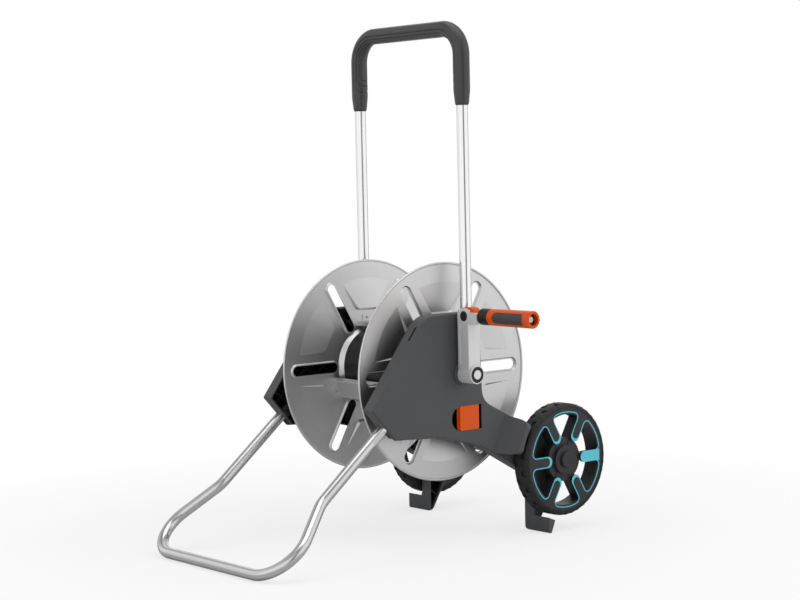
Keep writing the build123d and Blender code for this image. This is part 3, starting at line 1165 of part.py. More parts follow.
# ---- water inlet, on the side away from the crank ----
boss_face = -SHELL_OUTER_X - BOSS_HEIGHT
elbow_x = boss_face - INLET_REACH / 2
lean = radians(INLET_LEAN)
spigot_x = -liner_x + 30.0
DOWN = Plane(origin=REEL + Vector(elbow_x, 0, 0), x_dir=(1, 0, 0), z_dir=(0, -sin(lean), -cos(lean)))
with BuildPart() as inlet_elbow:
    with BuildSketch(side(boss_face)):
        Circle(INLET_DIA / 2)
    extrude(amount=-INLET_REACH)
    fillet(inlet_elbow.edges().group_by(Axis.X)[0], radius=2)
    with BuildSketch(DOWN):
        Circle(INLET_REACH / 2 - 1)
    extrude(amount=INLET_DROP)
    with BuildSketch(DOWN):
        Circle(NIPPLE_DIA / 2)
    extrude(amount=INLET_DROP + NIPPLE_LENGTH)
    with BuildSketch(side(boss_face)):
        Circle(shaft_r + HOLE_GAP - SEAT)
    extrude(amount=BOSS_HEIGHT + SHELL_WALL - 2 * FIT_GAP)
    with BuildSketch(side(boss_face)):
        Circle(spigot_r)
    extrude(amount=spigot_x - boss_face)
    for seal in (1, 2):
        with BuildSketch(side(spigot_x - 7 * seal)):
            Circle(2 * spigot_r)
            Circle(spigot_r - SHEET, mode=Mode.SUBTRACT)
        extrude(amount=2 * SHEET, mode=Mode.SUBTRACT)
    with BuildSketch(side(elbow_x)):
        Circle(WATER_BORE / 4)
    extrude(amount=spigot_x - elbow_x, mode=Mode.SUBTRACT)
    with BuildSketch(DOWN):
        Circle(NIPPLE_BORE / 2)
    extrude(amount=INLET_DROP + NIPPLE_LENGTH, mode=Mode.SUBTRACT)

with BuildPart() as inlet_seals:
    for seal in (1, 2):
        with BuildSketch(side(spigot_x - 7 * seal + SEAT)):
            Circle(spigot_r + RUN_GAP / 2)
            Circle(spigot_r - SHEET + SEAT, mode=Mode.SUBTRACT)
        extrude(amount=2 * SHEET - 2 * SEAT)

for name, piece in list(globals().items()):
    if isinstance(piece, BuildPart):
        piece.part.label = name
        export_step(piece.part, f"parts/{name}.step")
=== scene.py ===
import json
from math import cos, pi, radians, sin

import bmesh
import bpy
from mathutils import Matrix, Vector


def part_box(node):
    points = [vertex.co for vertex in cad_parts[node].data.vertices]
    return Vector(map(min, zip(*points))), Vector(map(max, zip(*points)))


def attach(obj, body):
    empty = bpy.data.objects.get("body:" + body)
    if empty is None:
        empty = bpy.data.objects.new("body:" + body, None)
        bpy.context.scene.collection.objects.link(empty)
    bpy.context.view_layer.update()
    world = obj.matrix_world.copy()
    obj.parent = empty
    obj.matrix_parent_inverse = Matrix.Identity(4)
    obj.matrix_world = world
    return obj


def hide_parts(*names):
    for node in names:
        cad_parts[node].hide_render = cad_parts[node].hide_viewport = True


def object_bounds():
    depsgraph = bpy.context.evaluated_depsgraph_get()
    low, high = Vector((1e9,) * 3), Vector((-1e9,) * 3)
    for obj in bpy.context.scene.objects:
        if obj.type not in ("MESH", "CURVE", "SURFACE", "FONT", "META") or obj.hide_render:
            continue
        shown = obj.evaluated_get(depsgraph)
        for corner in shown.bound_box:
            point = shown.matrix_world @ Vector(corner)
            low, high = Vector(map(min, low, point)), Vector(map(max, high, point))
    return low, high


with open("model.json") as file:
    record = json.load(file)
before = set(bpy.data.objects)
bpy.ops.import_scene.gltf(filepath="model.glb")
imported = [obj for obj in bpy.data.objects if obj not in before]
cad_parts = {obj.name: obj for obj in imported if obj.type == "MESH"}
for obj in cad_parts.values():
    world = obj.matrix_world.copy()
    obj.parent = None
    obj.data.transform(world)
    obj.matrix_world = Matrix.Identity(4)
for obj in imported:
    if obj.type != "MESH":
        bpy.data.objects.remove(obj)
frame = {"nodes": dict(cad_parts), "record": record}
nodes = frame["nodes"]
cad_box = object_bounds()

scene = bpy.context.scene
scene.view_settings.view_transform = "Standard"

# ---- places taken from the frame, in metres ----
joints = {joint["name"]: joint for joint in frame["record"]["behaviour"]["joints"]}
REEL = Vector(joints["reel_turn"]["pos_m"])

# ---- camera: the cart seen from the crank side, a little above the hubs ----
# VIEW_FROM is measured from the reel's axis
FOCAL_PIXELS = 1863.3
IMAGE_WIDTH = 800
SENSOR = 36.0
VIEW_FROM = Vector((2.509, -2.130, 0.345))
VIEW_ALONG = Vector((-0.7616, 0.6445, -0.0681)).normalized()
VIEW_UP = Vector((-0.0377, 0.0608, 0.9974))


def place_camera():
    lens = bpy.data.cameras.new("studio_camera")
    lens.sensor_width = SENSOR
    lens.lens = FOCAL_PIXELS / IMAGE_WIDTH * SENSOR
    lens.clip_end = 50
    camera = bpy.data.objects.new("studio_camera", lens)
    scene.collection.objects.link(camera)
    back = -VIEW_ALONG
    right = VIEW_UP.cross(back).normalized()
    up = back.cross(right).normalized()
    turn = Matrix((right, up, back)).transposed()
    camera.matrix_world = Matrix.Translation(REEL + VIEW_FROM) @ turn.to_4x4()
    scene.camera = camera


# ---- node helpers ----
def socket(group, name, kind, side, value=None):
    """A new socket on one side of a node group, with its value where one is given."""
    item = group.interface.new_socket(name=name, in_out=side, socket_type=kind)
    if value is not None:
        item.default_value = value


def new_group(name, kind, inputs, outputs):
    """An empty node group with its sockets, given with the sockets of its two ends."""
    group = bpy.data.node_groups.new(name, kind)
    for label, socket_kind, *value in inputs:
        socket(group, label, socket_kind, "INPUT", *value)
    for label, socket_kind in outputs:
        socket(group, label, socket_kind, "OUTPUT")
    return (group, add_node(group, "NodeGroupInput").outputs,
            add_node(group, "NodeGroupOutput").inputs)


def add_node(tree, kind, **values):
    node = tree.nodes.new(kind)
    for name, value in values.items():
        setattr(node, name, value)
    return node


def feed(tree, item, target):
    """Links a socket to a socket, or sets a plain value on it."""
    if isinstance(item, bpy.types.NodeSocket):
        tree.links.new(item, target)
    else:
        target.default_value = item


def enabled(sockets, name=None):
    """The first socket that the node's data type leaves in use, by its name or any."""
    return next(s for s in sockets if s.enabled and name in (None, s.name))


def math_node(tree, operation, first, second=0.0, clamp=False):
    node = add_node(tree, "ShaderNodeMath", operation=operation, use_clamp=clamp)
    feed(tree, first, node.inputs[0])
    feed(tree, second, node.inputs[1])
    return node.outputs[0]


def vector_node(tree, operation, first, second=(0.0, 0.0, 0.0)):
    node = add_node(tree, "ShaderNodeVectorMath", operation=operation)
    feed(tree, first, node.inputs[0])
    feed(tree, second, node.inputs["Scale"] if operation == "SCALE" else node.inputs[1])
    return node.outputs["Value"] if operation in ("DOT_PRODUCT", "LENGTH") else node.outputs["Vector"]


def remap(tree, value, from_low, from_high, to_low, to_high, soft=False):
    node = add_node(tree, "ShaderNodeMapRange", interpolation_type="SMOOTHSTEP" if soft else "LINEAR")
    tree.links.new(value, node.inputs["Value"])
    node.inputs["From Min"].default_value = from_low
    node.inputs["From Max"].default_value = from_high
    node.inputs["To Min"].default_value = to_low
    node.inputs["To Max"].default_value = to_high
    return node.outputs["Result"]


def mix_colour(tree, factor, first, second):
    node = add_node(tree, "ShaderNodeMix", data_type="RGBA")
    for name, item in (("Factor", factor), ("A", first), ("B", second)):
        feed(tree, (*item, 1.0) if isinstance(item, tuple) else item, enabled(node.inputs, name))
    return enabled(node.outputs)


def linear(*channels):
    """A colour of three screen values, 0 to 255, in scene-linear values."""
    shares = [value / 255 for value in channels]
    return tuple(share / 12.92 if share <= 0.04045 else ((share + 0.055) / 1.055) ** 2.4
                 for share in shares)


# ---- shared surface effects ----
def moulded_grain_group():
    """Fine spark-eroded grain of a plastic mould with slow flow marks."""
    group, start, end = new_group("moulded_grain", "ShaderNodeTree", (
        ("Grain Size", "NodeSocketFloat", 900.0), ("Flow Size", "NodeSocketFloat", 14.0)), (
        ("Height", "NodeSocketFloat"), ("Flow", "NodeSocketFloat")))
    place = add_node(group, "ShaderNodeTexCoord")
    cells = add_node(group, "ShaderNodeTexVoronoi", feature="SMOOTH_F1")
    fine = add_node(group, "ShaderNodeTexNoise")
    slow = add_node(group, "ShaderNodeTexNoise")
    fine.inputs["Detail"].default_value = 3
    slow.inputs["Detail"].default_value = 5
    slow.inputs["Distortion"].default_value = 0.6
    for texture in (cells, fine, slow):
        group.links.new(place.outputs["Object"], texture.inputs["Vector"])
    group.links.new(start["Grain Size"], cells.inputs["Scale"])
    group.links.new(start["Grain Size"], fine.inputs["Scale"])
    group.links.new(start["Flow Size"], slow.inputs["Scale"])
    height = math_node(group, "ADD", cells.outputs["Distance"], fine.outputs["Fac"])
    group.links.new(height, end["Height"])
    group.links.new(slow.outputs["Fac"], end["Flow"])
    return group


def drawn_metal_group():
    """Streaks left by rolling and drawing, stretched along one axis, with dull patches."""
    group, start, end = new_group("drawn_metal", "ShaderNodeTree", (
        ("Stretch", "NodeSocketVector", (900.0, 900.0, 25.0)), ("Patch Size", "NodeSocketFloat", 9.0)), (
        ("Streak", "NodeSocketFloat"), ("Patch", "NodeSocketFloat")))
    place = add_node(group, "ShaderNodeTexCoord")
    scaled = vector_node(group, "MULTIPLY", place.outputs["Object"], start["Stretch"])
    streak = add_node(group, "ShaderNodeTexNoise")
    streak.inputs["Scale"].default_value = 1.0
    streak.inputs["Detail"].default_value = 4
    patch = add_node(group, "ShaderNodeTexNoise")
    patch.inputs["Detail"].default_value = 4
    group.links.new(scaled, streak.inputs["Vector"])
    group.links.new(place.outputs["Object"], patch.inputs["Vector"])
    group.links.new(start["Patch Size"], patch.inputs["Scale"])
    group.links.new(streak.outputs["Fac"], end["Streak"])
    group.links.new(patch.outputs["Fac"], end["Patch"])
    return group


def worn_edge_group():
    """Mask of sharp outer edges, broken up, where handling has rubbed the surface."""
    group, start, end = new_group("worn_edge", "ShaderNodeTree", (
        ("Radius", "NodeSocketFloat", 0.0012), ("Break Up", "NodeSocketFloat", 60.0)), (
        ("Mask", "NodeSocketFloat"),))
    place = add_node(group, "ShaderNodeTexCoord")
    shape = add_node(group, "ShaderNodeNewGeometry")
    rounded = add_node(group, "ShaderNodeBevel", samples=4)
    group.links.new(start["Radius"], rounded.inputs["Radius"])
    alike = vector_node(group, "DOT_PRODUCT", rounded.outputs["Normal"], shape.outputs["Normal"])
    broken = add_node(group, "ShaderNodeTexNoise")
    broken.inputs["Detail"].default_value = 4
    group.links.new(place.outputs["Object"], broken.inputs["Vector"])
    group.links.new(start["Break Up"], broken.inputs["Scale"])
    edge = remap(group, alike, 0.995, 0.90, 0.0, 1.0)
    rough = remap(group, broken.outputs["Fac"], 0.40, 0.62, 0.0, 1.0)
    group.links.new(math_node(group, "MULTIPLY", edge, rough, clamp=True), end["Mask"])
    return group


def settled_dust_group():
    """Mask of the faces that look up, in patches, where dust and dried spray settle."""
    group, start, end = new_group("settled_dust", "ShaderNodeTree", (
        ("Patch Size", "NodeSocketFloat", 22.0),), (("Mask", "NodeSocketFloat"),))
    place = add_node(group, "ShaderNodeTexCoord")
    upward = vector_node(group, "DOT_PRODUCT", place.outputs["Normal"], (0.0, 0.0, 1.0))
    patch = add_node(group, "ShaderNodeTexNoise")
    patch.inputs["Detail"].default_value = 6
    patch.inputs["Roughness"].default_value = 0.65
    group.links.new(place.outputs["Object"], patch.inputs["Vector"])
    group.links.new(start["Patch Size"], patch.inputs["Scale"])
    lying = remap(group, upward, 0.2, 1.0, 0.0, 1.0, soft=True)
    spread = remap(group, patch.outputs["Fac"], 0.38, 0.68, 0.0, 1.0)
    group.links.new(math_node(group, "MULTIPLY", lying, spread, clamp=True), end["Mask"])
    return group


GRAIN = moulded_grain_group()
DRAWN = drawn_metal_group()
WORN = worn_edge_group()
DUST = settled_dust_group()
DUST_COLOUR = linear(150, 147, 140)
PLASTIC_FLOW_SIZE = 16.0
PLASTIC_BUMP = 0.7
METAL_BUMP = 0.5
PLASTIC_GLOSS = (0.05, 0.06)    # how far roughness goes below and above its middle
METAL_GLOSS = 0.03
RUBBED_KEEPS = 0.7              # a rubbed edge keeps this share of its colour
RUBBED_LIGHTENS = 0.12          # and gains this much white
DUST_ROUGHENS = 0.3


def use_group(tree, group, **values):
    node = add_node(tree, "ShaderNodeGroup", node_tree=group)
    for name, value in values.items():
        node.inputs[name.replace("_", " ")].default_value = value
    return node


# ---- materials ----
def new_material(name):
    material = bpy.data.materials.new(name)
    material.use_nodes = True
    tree = material.node_tree
    return material, tree, tree.nodes["Principled BSDF"]


def relief(tree, shader, height, depth, strength):
    """A bump of a depth in metres on a shader's surface."""
    bump = add_node(tree, "ShaderNodeBump")
    bump.inputs["Distance"].default_value = depth
    bump.inputs["Strength"].default_value = strength
    tree.links.new(height, bump.inputs["Height"])
    tree.links.new(bump.outputs["Normal"], shader.inputs["Normal"])


def plastic(name, colour, roughness, grain_size=900.0, depth=0.00004, flow=0.10, wear=0.0,
            dust=0.0, spec=0.35):
    """A moulded plastic or rubber: flow marks, mould grain, rubbed edges and a little dust."""
    material, tree, shader = new_material(name)
    grain = use_group(tree, GRAIN, Grain_Size=grain_size, Flow_Size=PLASTIC_FLOW_SIZE)
    darker = tuple(c * (1 - flow) for c in colour)
    lighter = tuple(min(1.0, c * (1 + flow)) for c in colour)
    shade = mix_colour(tree, grain.outputs["Flow"], darker, lighter)
    below, above = PLASTIC_GLOSS
    gloss = remap(tree, grain.outputs["Flow"], 0.3, 0.7, roughness - below, roughness + above)
    if wear:
        edge = use_group(tree, WORN)
        faded = tuple(c * RUBBED_KEEPS + RUBBED_LIGHTENS for c in colour)
        amount = math_node(tree, "MULTIPLY", edge.outputs["Mask"], wear)
        shade = mix_colour(tree, amount, shade, faded)
    if dust:
        settled = use_group(tree, DUST)
        amount = math_node(tree, "MULTIPLY", settled.outputs["Mask"], dust)
        shade = mix_colour(tree, amount, shade, DUST_COLOUR)
        gloss = math_node(tree, "ADD", gloss, math_node(tree, "MULTIPLY", amount, DUST_ROUGHENS))
    tree.links.new(shade, shader.inputs["Base Color"])
    tree.links.new(gloss, shader.inputs["Roughness"])
    shader.inputs["Specular IOR Level"].default_value = spec
    relief(tree, shader, grain.outputs["Height"], depth, PLASTIC_BUMP)
    return material


def metal(name, colour, roughness, stretch, depth=0.000015, metallic=1.0, patch=0.10):
    """Drawn, rolled or painted metal: streaks along its length and slow dull patches."""
    material, tree, shader = new_material(name)
    drawn = use_group(tree, DRAWN, Stretch=stretch)
    duller = tuple(c * (1 - patch) for c in colour)
    shade = mix_colour(tree, drawn.outputs["Patch"], duller, colour)
    tree.links.new(shade, shader.inputs["Base Color"])
    shader.inputs["Metallic"].default_value = metallic
    streaks = remap(tree, drawn.outputs["Streak"], 0.3, 0.7, -METAL_GLOSS, METAL_GLOSS)
    patches = remap(tree, drawn.outputs["Patch"], 0.3, 0.7, roughness - METAL_GLOSS,
                    roughness + METAL_GLOSS)
    gloss = math_node(tree, "ADD", streaks, patches)
    tree.links.new(gloss, shader.inputs["Roughness"])
    relief(tree, shader, drawn.outputs["Streak"], depth, METAL_BUMP)
    return material


MATERIALS = {
    "cover": plastic("anthracite_cover", linear(74, 75, 77), 0.48, wear=0.35, dust=0.10),
    "black_plastic": plastic("black_moulding", linear(30, 30, 32), 0.45),
    "arm_silver": metal("silver_arm_paint", (0.72, 0.72, 0.73), 0.36, (260.0, 260.0, 260.0),
                        metallic=0.25, patch=0.05),
    "orange_plastic": plastic("orange_moulding", linear(216, 84, 14), 0.38, depth=0.00002, flow=0.05,
                              spec=0.25),
    "wheel_plastic": plastic("wheel_moulding", linear(46, 44, 47), 0.42, wear=0.25),
    "trim_paint": plastic("turquoise_line", linear(90, 190, 208), 0.35, depth=0.00001, flow=0.08),
    "tyre": plastic("tyre_rubber", linear(36, 36, 38), 0.62, grain_size=500.0, depth=0.00008, dust=0.12),
    "grip_rubber": plastic("foam_grip", linear(56, 56, 57), 0.33, grain_size=1300.0, spec=0.5),
    "inlay_rubber": plastic("grip_inlay", linear(66, 67, 70), 0.55, grain_size=1100.0, depth=0.00006),
    "seal_rubber": plastic("seal_rubber", linear(30, 30, 32), 0.50),
    "zinc_sheet": metal("zinc_sheet", (0.74, 0.74, 0.74), 0.42, (60.0, 420.0, 420.0),
                        depth=0.000006, patch=0.05),
    "silver_tube": metal("silver_tube", (0.93, 0.93, 0.93), 0.13, (700.0, 700.0, 12.0),
                         depth=0.000004, patch=0.05),
    "stand_silver": metal("stand_silver", (0.72, 0.72, 0.72), 0.24, (500.0, 500.0, 500.0),
                          depth=0.000002, patch=0.05),
    "axle_steel": metal("axle_steel", (0.55, 0.55, 0.56), 0.28, (20.0, 900.0, 900.0)),
    "screw_steel": metal("screw_steel", (0.58, 0.58, 0.57), 0.28, (500.0, 500.0, 500.0)),
    "cap_silver": metal("cap_silver", (0.74, 0.74, 0.75), 0.20, (60.0, 600.0, 600.0)),
    "outlet_brass": metal("outlet_brass", (0.70, 0.50, 0.20), 0.30, (500.0, 500.0, 60.0)),
}
slot_of = {part["node"]: part["material_slot"] for part in frame["record"]["subparts"]}
for name, node in nodes.items():
    for place in node.material_slots:
        # the stand's tube has a duller finish than the handle's, with no streaks along it
        place.material = MATERIALS["stand_silver" if name == "stand_hoop" else slot_of[name]]


# ---- grown pieces ----
def growing_tree(name, inputs):
    """An empty Geometry Nodes tree with a geometry socket at each end and named sizes."""
    ends = ("Geometry", "NodeSocketGeometry")
    return new_group(name, "GeometryNodeTree", (ends, *inputs), (ends,))


def close_tree(tree, geometry, finish, end):
    """Realized instances with their material, out of the tree."""
    solid = add_node(tree, "GeometryNodeRealizeInstances")
    coloured = add_node(tree, "GeometryNodeSetMaterial")
    tree.links.new(geometry, solid.inputs["Geometry"])
    tree.links.new(solid.outputs["Geometry"], coloured.inputs["Geometry"])
    tree.links.new(finish, coloured.inputs["Material"])
    tree.links.new(coloured.outputs["Geometry"], end["Geometry"])


def face_out(tree, axis, way, turn_axis, angle):
    """A rotation that points an axis along a way and then turns about another by an angle."""
    facing = add_node(tree, "FunctionNodeAlignRotationToVector", axis=axis)
    tree.links.new(way, facing.inputs["Vector"])
    turn = add_node(tree, "FunctionNodeAxisAngleToRotation")
    turn.inputs["Axis"].default_value = turn_axis
    tree.links.new(angle, turn.inputs["Angle"])
    turned = add_node(tree, "FunctionNodeRotateRotation", rotation_space="LOCAL")
    tree.links.new(facing.outputs["Rotation"], turned.inputs["Rotation"])
    tree.links.new(turn.outputs["Rotation"], turned.inputs["Rotate By"])
    return turned.outputs["Rotation"]


def scattered(tree, form, points, rotation, scale):
    """A copy of an object's shape on every point."""
    shape = add_node(tree, "GeometryNodeObjectInfo")
    tree.links.new(form, shape.inputs["Object"])
    placed = add_node(tree, "GeometryNodeInstanceOnPoints")
    tree.links.new(points, placed.inputs["Points"])
    tree.links.new(shape.outputs["Geometry"], placed.inputs["Instance"])
    tree.links.new(rotation, placed.inputs["Rotation"])
    tree.links.new(scale, placed.inputs["Scale"])
    return placed.outputs["Instances"]


def grow(name, seed_mesh, tree, values):
    """The plain mesh that a tree makes from its seed mesh."""
    seed = bpy.data.objects.new(name + "_seed", seed_mesh)
    scene.collection.objects.link(seed)
    grower = seed.modifiers.new("grower", "NODES")
    grower.node_group = tree
    for item in tree.interface.items_tree:
        if item.in_out == "INPUT" and item.name in values:
            grower[item.identifier] = values[item.name]
    bpy.context.view_layer.update()
    grown = seed.evaluated_get(bpy.context.evaluated_depsgraph_get())
    mesh = bpy.data.meshes.new_from_object(grown)
    mesh.name = name
    seed.modifiers.remove(grower)
    bpy.data.objects.remove(seed)
    return mesh


def put(name, mesh, body, slot, crease=35):
    """A finished piece at the origin that rides on a body and takes a slot's finish."""
    mesh.set_sharp_from_angle(angle=radians(crease))
    piece = bpy.data.objects.new(name, mesh)
    scene.collection.objects.link(piece)
    if not mesh.materials:
        mesh.materials.append(MATERIALS[slot])
    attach(piece, body)
    return piece


def stored(tree, geometry, name, kind, value):
    """The geometry with a value kept on its points under a name."""
    node = add_node(tree, "GeometryNodeStoreNamedAttribute", data_type=kind, domain="POINT")
    node.inputs["Name"].default_value = name
    tree.links.new(geometry, node.inputs["Geometry"])
    feed(tree, value, enabled(node.inputs, "Value"))
    return node.outputs["Geometry"]


def recalled(tree, name, kind):
    """The value kept on the points under a name."""
    node = add_node(tree, "GeometryNodeInputNamedAttribute", data_type=kind)
    node.inputs["Name"].default_value = name
    return enabled(node.outputs, "Attribute")


# ---- handle sleeve: a bent foam tube with moulded grooves round its palm side ----
GRIP_BEND = 0.046
GRIP_TAPER = 0.026
GRIP_DRAW_IN = 0.105        # how much its radius shrinks at the ends, as a share of the taper
GRIP_LIP = (0.003, 0.0012)  # length and depth of the rounding at its ends
BEND_STEPS = 40
TUBE_PITCH = 0.0016
RING_POINTS = 144
GROOVE_DEPTH = 0.0015
GROOVE_WIDTH = 0.0011
PANEL_EDGE = 0.6            # half the slope at the panel's edge, in groove widths
# half the width of each grooved outline, in degrees round the sleeve, and its start from the end
PALM_GROOVES = ((87, 0.033), (61, 0.045), (40, 0.054))
PALM_CORNER = 0.92          # rounding of an outline's end, as a share of its half width
PALM_SUNK = 0.5             # how far the panel lies lower, as a share of the groove's depth


def palm_groove_group():
    """How far a point is in the groove round a round-ended panel, and inside it, each 0 to 1."""
    labels = ("Around", "From End", "Half Width", "Start", "Groove Width")
    group, start, end = new_group("palm_groove", "GeometryNodeTree", [
        (label, "NodeSocketFloat") for label in labels], (
        ("Groove", "NodeSocketFloat"), ("Inside", "NodeSocketFloat")))
    corner = math_node(group, "MULTIPLY", start["Half Width"], PALM_CORNER)
    across = math_node(group, "SUBTRACT", start["Around"],
                       math_node(group, "SUBTRACT", start["Half Width"], corner))
    along = math_node(group, "SUBTRACT", math_node(group, "ADD", start["Start"], corner),
                      start["From End"])
    outer_across = math_node(group, "MAXIMUM", across, 0.0)
    outer_along = math_node(group, "MAXIMUM", along, 0.0)
    squares = [math_node(group, "MULTIPLY", side, side) for side in (outer_across, outer_along)]
    beyond = math_node(group, "SQRT", math_node(group, "ADD", *squares))
    within = math_node(group, "MINIMUM", math_node(group, "MAXIMUM", across, along), 0.0)
    distance = math_node(group, "SUBTRACT", math_node(group, "ADD", beyond, within), corner)
    share = math_node(group, "DIVIDE", distance, start["Groove Width"])
    bell = math_node(group, "MULTIPLY", math_node(group, "MULTIPLY", share, share), -1.0)
    group.links.new(math_node(group, "EXPONENT", bell), end["Groove"])
    group.links.new(remap(group, share, PANEL_EDGE, -PANEL_EDGE, 0.0, 1.0, soft=True),
                    end["Inside"])
    return group


def palm_sleeve_tree():
    """A tube swept along a bent path, drawn in at both ends, with nested panel grooves."""
    tree, start, end = growing_tree("palm_sleeve", (
        ("Bend Radius", "NodeSocketFloat"), ("Sleeve Radius", "NodeSocketFloat"),
        ("Taper Length", "NodeSocketFloat"), ("Taper Depth", "NodeSocketFloat"),
        ("Groove Depth", "NodeSocketFloat"), ("Groove Width", "NodeSocketFloat"),
        ("Foam", "NodeSocketMaterial")))
    line = add_node(tree, "GeometryNodeMeshToCurve")
    tree.links.new(start["Geometry"], line.inputs[0])
    bent = add_node(tree, "GeometryNodeFilletCurve", mode="POLY")
    bent.inputs["Count"].default_value = BEND_STEPS
    tree.links.new(line.outputs[0], bent.inputs["Curve"])
    tree.links.new(start["Bend Radius"], bent.inputs["Radius"])
    even = add_node(tree, "GeometryNodeResampleCurve", mode="LENGTH")
    even.inputs["Length"].default_value = TUBE_PITCH
    tree.links.new(bent.outputs[0], even.inputs["Curve"])
    travelled = add_node(tree, "GeometryNodeSplineParameter").outputs["Length"]
    total = add_node(tree, "GeometryNodeSplineLength").outputs["Length"]
    near_end = math_node(tree, "MINIMUM", travelled, math_node(tree, "SUBTRACT", total, travelled))
    path = stored(tree, even.outputs[0], "from_end", "FLOAT", near_end)
    path = stored(tree, path, "centre", "FLOAT_VECTOR",
                  add_node(tree, "GeometryNodeInputPosition").outputs[0])
    path = stored(tree, path, "along", "FLOAT_VECTOR",
                  add_node(tree, "GeometryNodeInputTangent").outputs[0])
    ring = add_node(tree, "GeometryNodeCurvePrimitiveCircle")
    ring.inputs["Resolution"].default_value = RING_POINTS
    tree.links.new(start["Sleeve Radius"], ring.inputs["Radius"])
    tube = add_node(tree, "GeometryNodeCurveToMesh")
    tube.inputs["Fill Caps"].default_value = True
    tree.links.new(path, tube.inputs["Curve"])
    tree.links.new(ring.outputs["Curve"], tube.inputs["Profile Curve"])
    # where each point lies round the tube, measured from the side the palm closes on
    outward = vector_node(tree, "SUBTRACT", add_node(tree, "GeometryNodeInputPosition").outputs[0],
                          recalled(tree, "centre", "FLOAT_VECTOR"))
    way_out = vector_node(tree, "NORMALIZE", outward)
    inward = vector_node(tree, "CROSS_PRODUCT", (0.0, 1.0, 0.0), recalled(tree, "along", "FLOAT_VECTOR"))
    turn = math_node(tree, "ARCTAN2", vector_node(tree, "DOT_PRODUCT", way_out, (0.0, 1.0, 0.0)),
                     vector_node(tree, "DOT_PRODUCT", way_out, inward))
    around = math_node(tree, "MULTIPLY", math_node(tree, "ABSOLUTE", turn), start["Sleeve Radius"])
    reach = recalled(tree, "from_end", "FLOAT")
    depth = 0.0
    for degrees_round, first in PALM_GROOVES:
        groove = add_node(tree, "GeometryNodeGroup", node_tree=PALM_GROOVE)
        feed(tree, around, groove.inputs["Around"])
        feed(tree, reach, groove.inputs["From End"])
        feed(tree, math_node(tree, "MULTIPLY", start["Sleeve Radius"], radians(degrees_round)),
             groove.inputs["Half Width"])
        groove.inputs["Start"].default_value = first
        feed(tree, start["Groove Width"], groove.inputs["Groove Width"])
        depth = math_node(tree, "ADD", depth, groove.outputs["Groove"])
    # the panel inside the last outline lies lower than the sleeve round it
    sunk = math_node(tree, "MULTIPLY", groove.outputs["Inside"], PALM_SUNK)
    depth = math_node(tree, "MULTIPLY", math_node(tree, "ADD", depth, sunk), start["Groove Depth"])
    left = math_node(tree, "SUBTRACT", 1.0, math_node(tree, "DIVIDE", reach, start["Taper Length"]))
    slope = math_node(tree, "MULTIPLY", math_node(tree, "MAXIMUM", left, 0.0), start["Taper Depth"])
    lip_length, lip_depth = GRIP_LIP
    lip = remap(tree, reach, 0.0, lip_length, lip_depth, 0.0, soft=True)
    inset = math_node(tree, "ADD", math_node(tree, "ADD", depth, slope), lip)
    moved = add_node(tree, "GeometryNodeSetPosition")
    tree.links.new(tube.outputs["Mesh"], moved.inputs["Geometry"])
    tree.links.new(vector_node(tree, "SCALE", way_out, math_node(tree, "MULTIPLY", inset, -1.0)),
                   moved.inputs["Offset"])
    smooth = add_node(tree, "GeometryNodeSetShadeSmooth")
    tree.links.new(moved.outputs["Geometry"], smooth.inputs["Geometry"])
    close_tree(tree, smooth.outputs["Geometry"], start["Foam"], end)
    return tree


PALM_GROOVE = palm_groove_group()


def handle_sleeve():
    """The foam sleeve in the box of the plain grip that it stands for."""
    low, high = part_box("handle_grip")
    sleeve_r = (high.y - low.y) / 2
    middle_y = (high.y + low.y) / 2
    top = high.z - sleeve_r
    corners = [(low.x + sleeve_r, middle_y, low.z), (low.x + sleeve_r, middle_y, top),
               (high.x - sleeve_r, middle_y, top), (high.x - sleeve_r, middle_y, low.z)]
    line = bpy.data.meshes.new("handle_line")
    line.from_pydata(corners, [(0, 1), (1, 2), (2, 3)], [])
    mesh = grow("handle_sleeve", line, palm_sleeve_tree(), {
        "Bend Radius": GRIP_BEND, "Sleeve Radius": sleeve_r, "Taper Length": GRIP_TAPER,
        "Taper Depth": GRIP_TAPER * GRIP_DRAW_IN, "Groove Depth": GROOVE_DEPTH,
        "Groove Width": GROOVE_WIDTH, "Foam": MATERIALS["grip_rubber"]})
    piece = put("handle_sleeve", mesh, "handle", "grip_rubber", crease=50)
    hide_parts("handle_grip")


# ---- screws: a driver recess in every head ----
FLAT = 1e-4                 # points this near to a face lie on it
# the recess on a head of radius 1
RECESS_ARM = 0.62
RECESS_HALF_WIDTH = 0.17
RECESS_DEPTH = 0.55
RECESS_RINGS = 7
RECESS_SEGMENTS = 48
HEAD_DOME = 0.16
HEAD_SKIRT = 0.2
# screws, the body they are on, their disc's radius and how far its edge is sunk in the head
SCREW_HEADS = (("tab_screws", "reel", 0.00178, 0.0002), ("hub_screws", "reel", 0.0034, -0.0004),
               ("frame_screws", "frame", 0.00178, 0.0002), ("hoop_bolts", "frame", 0.00178, 0.0002))
FIRST_SEED = 11


def islands(name):
    """The separate solids of a CAD node, each as a list of its points."""
    form = bmesh.new()
    form.from_mesh(nodes[name].data)
    bmesh.ops.remove_doubles(form, verts=form.verts, dist=1e-6)
    waiting = set(form.verts)
    groups = []
    while waiting:
        stack = [waiting.pop()]
        points = []
        while stack:
            vert = stack.pop()
            points.append(vert.co.copy())
            for edge in vert.link_edges:
                other = edge.other_vert(vert)
                if other in waiting:
                    waiting.remove(other)
                    stack.append(other)
        groups.append(points)
    form.free()
    return groups


